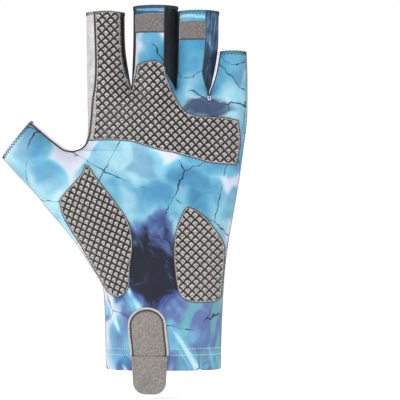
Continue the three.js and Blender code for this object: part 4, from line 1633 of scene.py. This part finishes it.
# The seams down both sides of the hand, from the thumb's rim and from the little finger's
side_paths = [
    thumb_skin(np.full(240, 0.0), np.linspace(0.002, 1.998, 240), -1),
    finger_skin(FINGER["little"], np.full(240, 1.0), np.linspace(0.002, 3.998, 240), -1),
]
side_seams = []
for path in side_paths:
    outward = np.cross(np.gradient(path, axis=0), (0, 1.0, 0))
    outward *= np.sign(outward[:, :1] * path[:, :1])
    side_seams.append(tube_grid(path, outward, radius=0.42, flatten=0.7))
closed_piece("side_seams", side_seams, thread_navy)
closed_piece("finger_seams", seam_cords, cord_black)
closed_piece("little_seam_cords", white_cords, cord_white)


def stitch_line(outline, inset, rise, length, gap, radius):
    """Stitches along a closed outline, set in from it, on the palm."""
    way = unit(np.roll(outline, -1, axis=0) - np.roll(outline, 1, axis=0))
    inward = np.stack([-way[:, 1], way[:, 0]], -1)
    if np.sum((outline - outline.mean(0)) * inward) > 0:
        inward = -inward
    here, outward = lay_with_normals(outline + inward * inset, palm_skin)
    return beads(here + outward * rise, outward, length, gap, radius)


def evened(path):
    """A path with even steps."""
    length = running_length(path)
    return at_lengths(path, length, np.linspace(0, length[-1], int(length[-1] / EVEN_STEP)))


edge_stitches = []
dark_stitches = []
for outline in (main_outline, *PATCH_EDGES.values()):
    outline = evened(outline)
    edge_stitches += stitch_line(outline, inset=0.75, rise=0.95, length=1.0, gap=0.8, radius=0.2)
    dark_stitches += stitch_line(outline, inset=0.12, rise=0.4, length=1.7, gap=0.15, radius=0.34)
for low, high in FINGER_TABS.values():
    low, high = hand_spots([low, high])
    line = np.stack([np.linspace(low[0] + 0.2, high[0] - 0.2, 40), np.full(40, low[1] - 0.15)], -1)
    here, outward = lay_with_normals(line, palm_skin)
    dark_stitches.append(tube_grid(here + outward * 0.3, outward, radius=0.3))
across = np.linspace(-TAB_HALF + 0.9, TAB_HALF - 0.9, 60)
cross_row = np.stack([across + TAB_MIDDLE + TAB_LEAN, PULL_SEAM + 0 * across], -1)
here, outward = lay_tab(cross_row)
dark_stitches += beads(here + outward * 2.1, outward, length=1.0, gap=0.6, radius=0.32)
channel = arch_path(TAB_HALF - 1.45, tab_high[2] - 1.5, PULL_SEAM)
here, outward = lay_tab(channel)
channel_stitches = beads(here + outward * 1.15, outward, length=1.15, gap=0.5, radius=0.34)
closed_piece("patch_stitches", edge_stitches, thread_pale)
closed_piece("patch_edge_stitches", dark_stitches, thread_black)
closed_piece("cuff_tab_stitches", channel_stitches, thread_black)


OVERLOCK_PITCH = 2.0
OVERLOCK_DEPTH = 2.0
OVERLOCK_POINTS = 280
THUMB_OVERLOCK_DEPTH = 0.055


def rim_zigzag(strip, rim_v, depth_v):
    """A thread that crosses a rim's edge back and forth, round the front and the back.

    Its depth under the rim swings as a triangle wave of the length along the rim.
    """
    paths = []
    for side in SIDES:
        u = turned(np.linspace(0.02, math.pi - 0.02, OVERLOCK_POINTS))
        edge = strip(u, np.full(OVERLOCK_POINTS, rim_v), side)
        swing = 1 - np.abs(2 * ((running_length(edge) / OVERLOCK_PITCH) % 1) - 1)
        here = strip(u, rim_v - depth_v * swing, side)
        outward = unit((here - here.mean(0)) * (1, 1, 0))
        paths.append(tube_grid(here + outward * 0.12, outward, radius=0.2, sides=6))
    return paths


overlock = []
for finger in FINGERS:
    depth_v = OVERLOCK_DEPTH / (finger["reach"] * FINGER_LENGTH)
    overlock += rim_zigzag(partial(finger_skin, finger), rim_v=4.0, depth_v=depth_v)
overlock += rim_zigzag(thumb_skin, rim_v=2.0, depth_v=THUMB_OVERLOCK_DEPTH)
closed_piece("rim_overlock", overlock, thread_black)


take_out(palm_skin)


# The studio: a pale floor, a white world and soft lights

def studio_light(name, place, target, size, power):
    """A square soft light aimed at a place."""
    data = bpy.data.lights.new(name, "AREA")
    data.shape = "SQUARE"
    data.size = size
    data.energy = power
    lamp = bpy.data.objects.new(name, data)
    way = np.array(place) - np.array(target)
    lamp.location = place
    lamp.rotation_euler = (
        math.atan2(math.hypot(way[0], way[1]), way[2]),
        0,
        math.atan2(way[1], way[0]) + math.pi / 2,
    )
    bpy.context.scene.collection.objects.link(lamp)


FLOOR_HALF = 1000.0
FLOOR_HEIGHT = -16.5
floor_corners = np.array([(-1, -1), (1, -1), (1, 1), (-1, 1)]) * FLOOR_HALF
floor_points = np.column_stack([floor_corners, np.full(4, FLOOR_HEIGHT)])
floor = object_of("floor", (floor_points, np.array([[0, 1, 2, 3]]), NO_FACES))
floor_finish = bpy.data.materials.new("floor")
floor_finish.use_nodes = True
floor_shader = floor_finish.node_tree.nodes["Principled BSDF"]
floor_shader.inputs["Base Color"].default_value = (0.92, 0.92, 0.92, 1)
floor_shader.inputs["Roughness"].default_value = 0.8
floor_shader.inputs["Emission Color"].default_value = (1, 1, 1, 1)
floor_shader.inputs["Emission Strength"].default_value = 0.6
floor.data.materials.append(floor_finish)

world = bpy.data.worlds.new("studio")
bpy.context.scene.world = world
world.use_nodes = True
world_tree = world.node_tree
soft_light = world_tree.nodes["Background"]
backdrop = world_tree.nodes.new("ShaderNodeBackground")
for background, strength in ((soft_light, 0.34), (backdrop, 1.0)):
    background.inputs["Color"].default_value = (1, 1, 1, 1)
    background.inputs["Strength"].default_value = strength
seen = world_tree.nodes.new("ShaderNodeLightPath")
either = world_tree.nodes.new("ShaderNodeMixShader")
world_tree.links.new(seen.outputs["Is Camera Ray"], either.inputs[0])
world_tree.links.new(soft_light.outputs[0], either.inputs[1])
world_tree.links.new(backdrop.outputs[0], either.inputs[2])
world_tree.links.new(either.outputs[0], world_tree.nodes["World Output"].inputs[0])
bpy.context.scene.view_settings.view_transform = "Standard"

studio_light("key", (-0.55, -0.8, 0.6), (0, 0, 0.1), size=0.4, power=7.0)
studio_light("fill", (0.75, -0.7, 0.25), (0, 0, 0.1), size=0.6, power=2.4)
studio_light("back", (0.2, 0.7, 0.7), (0, 0, 0.12), size=0.5, power=4.5)
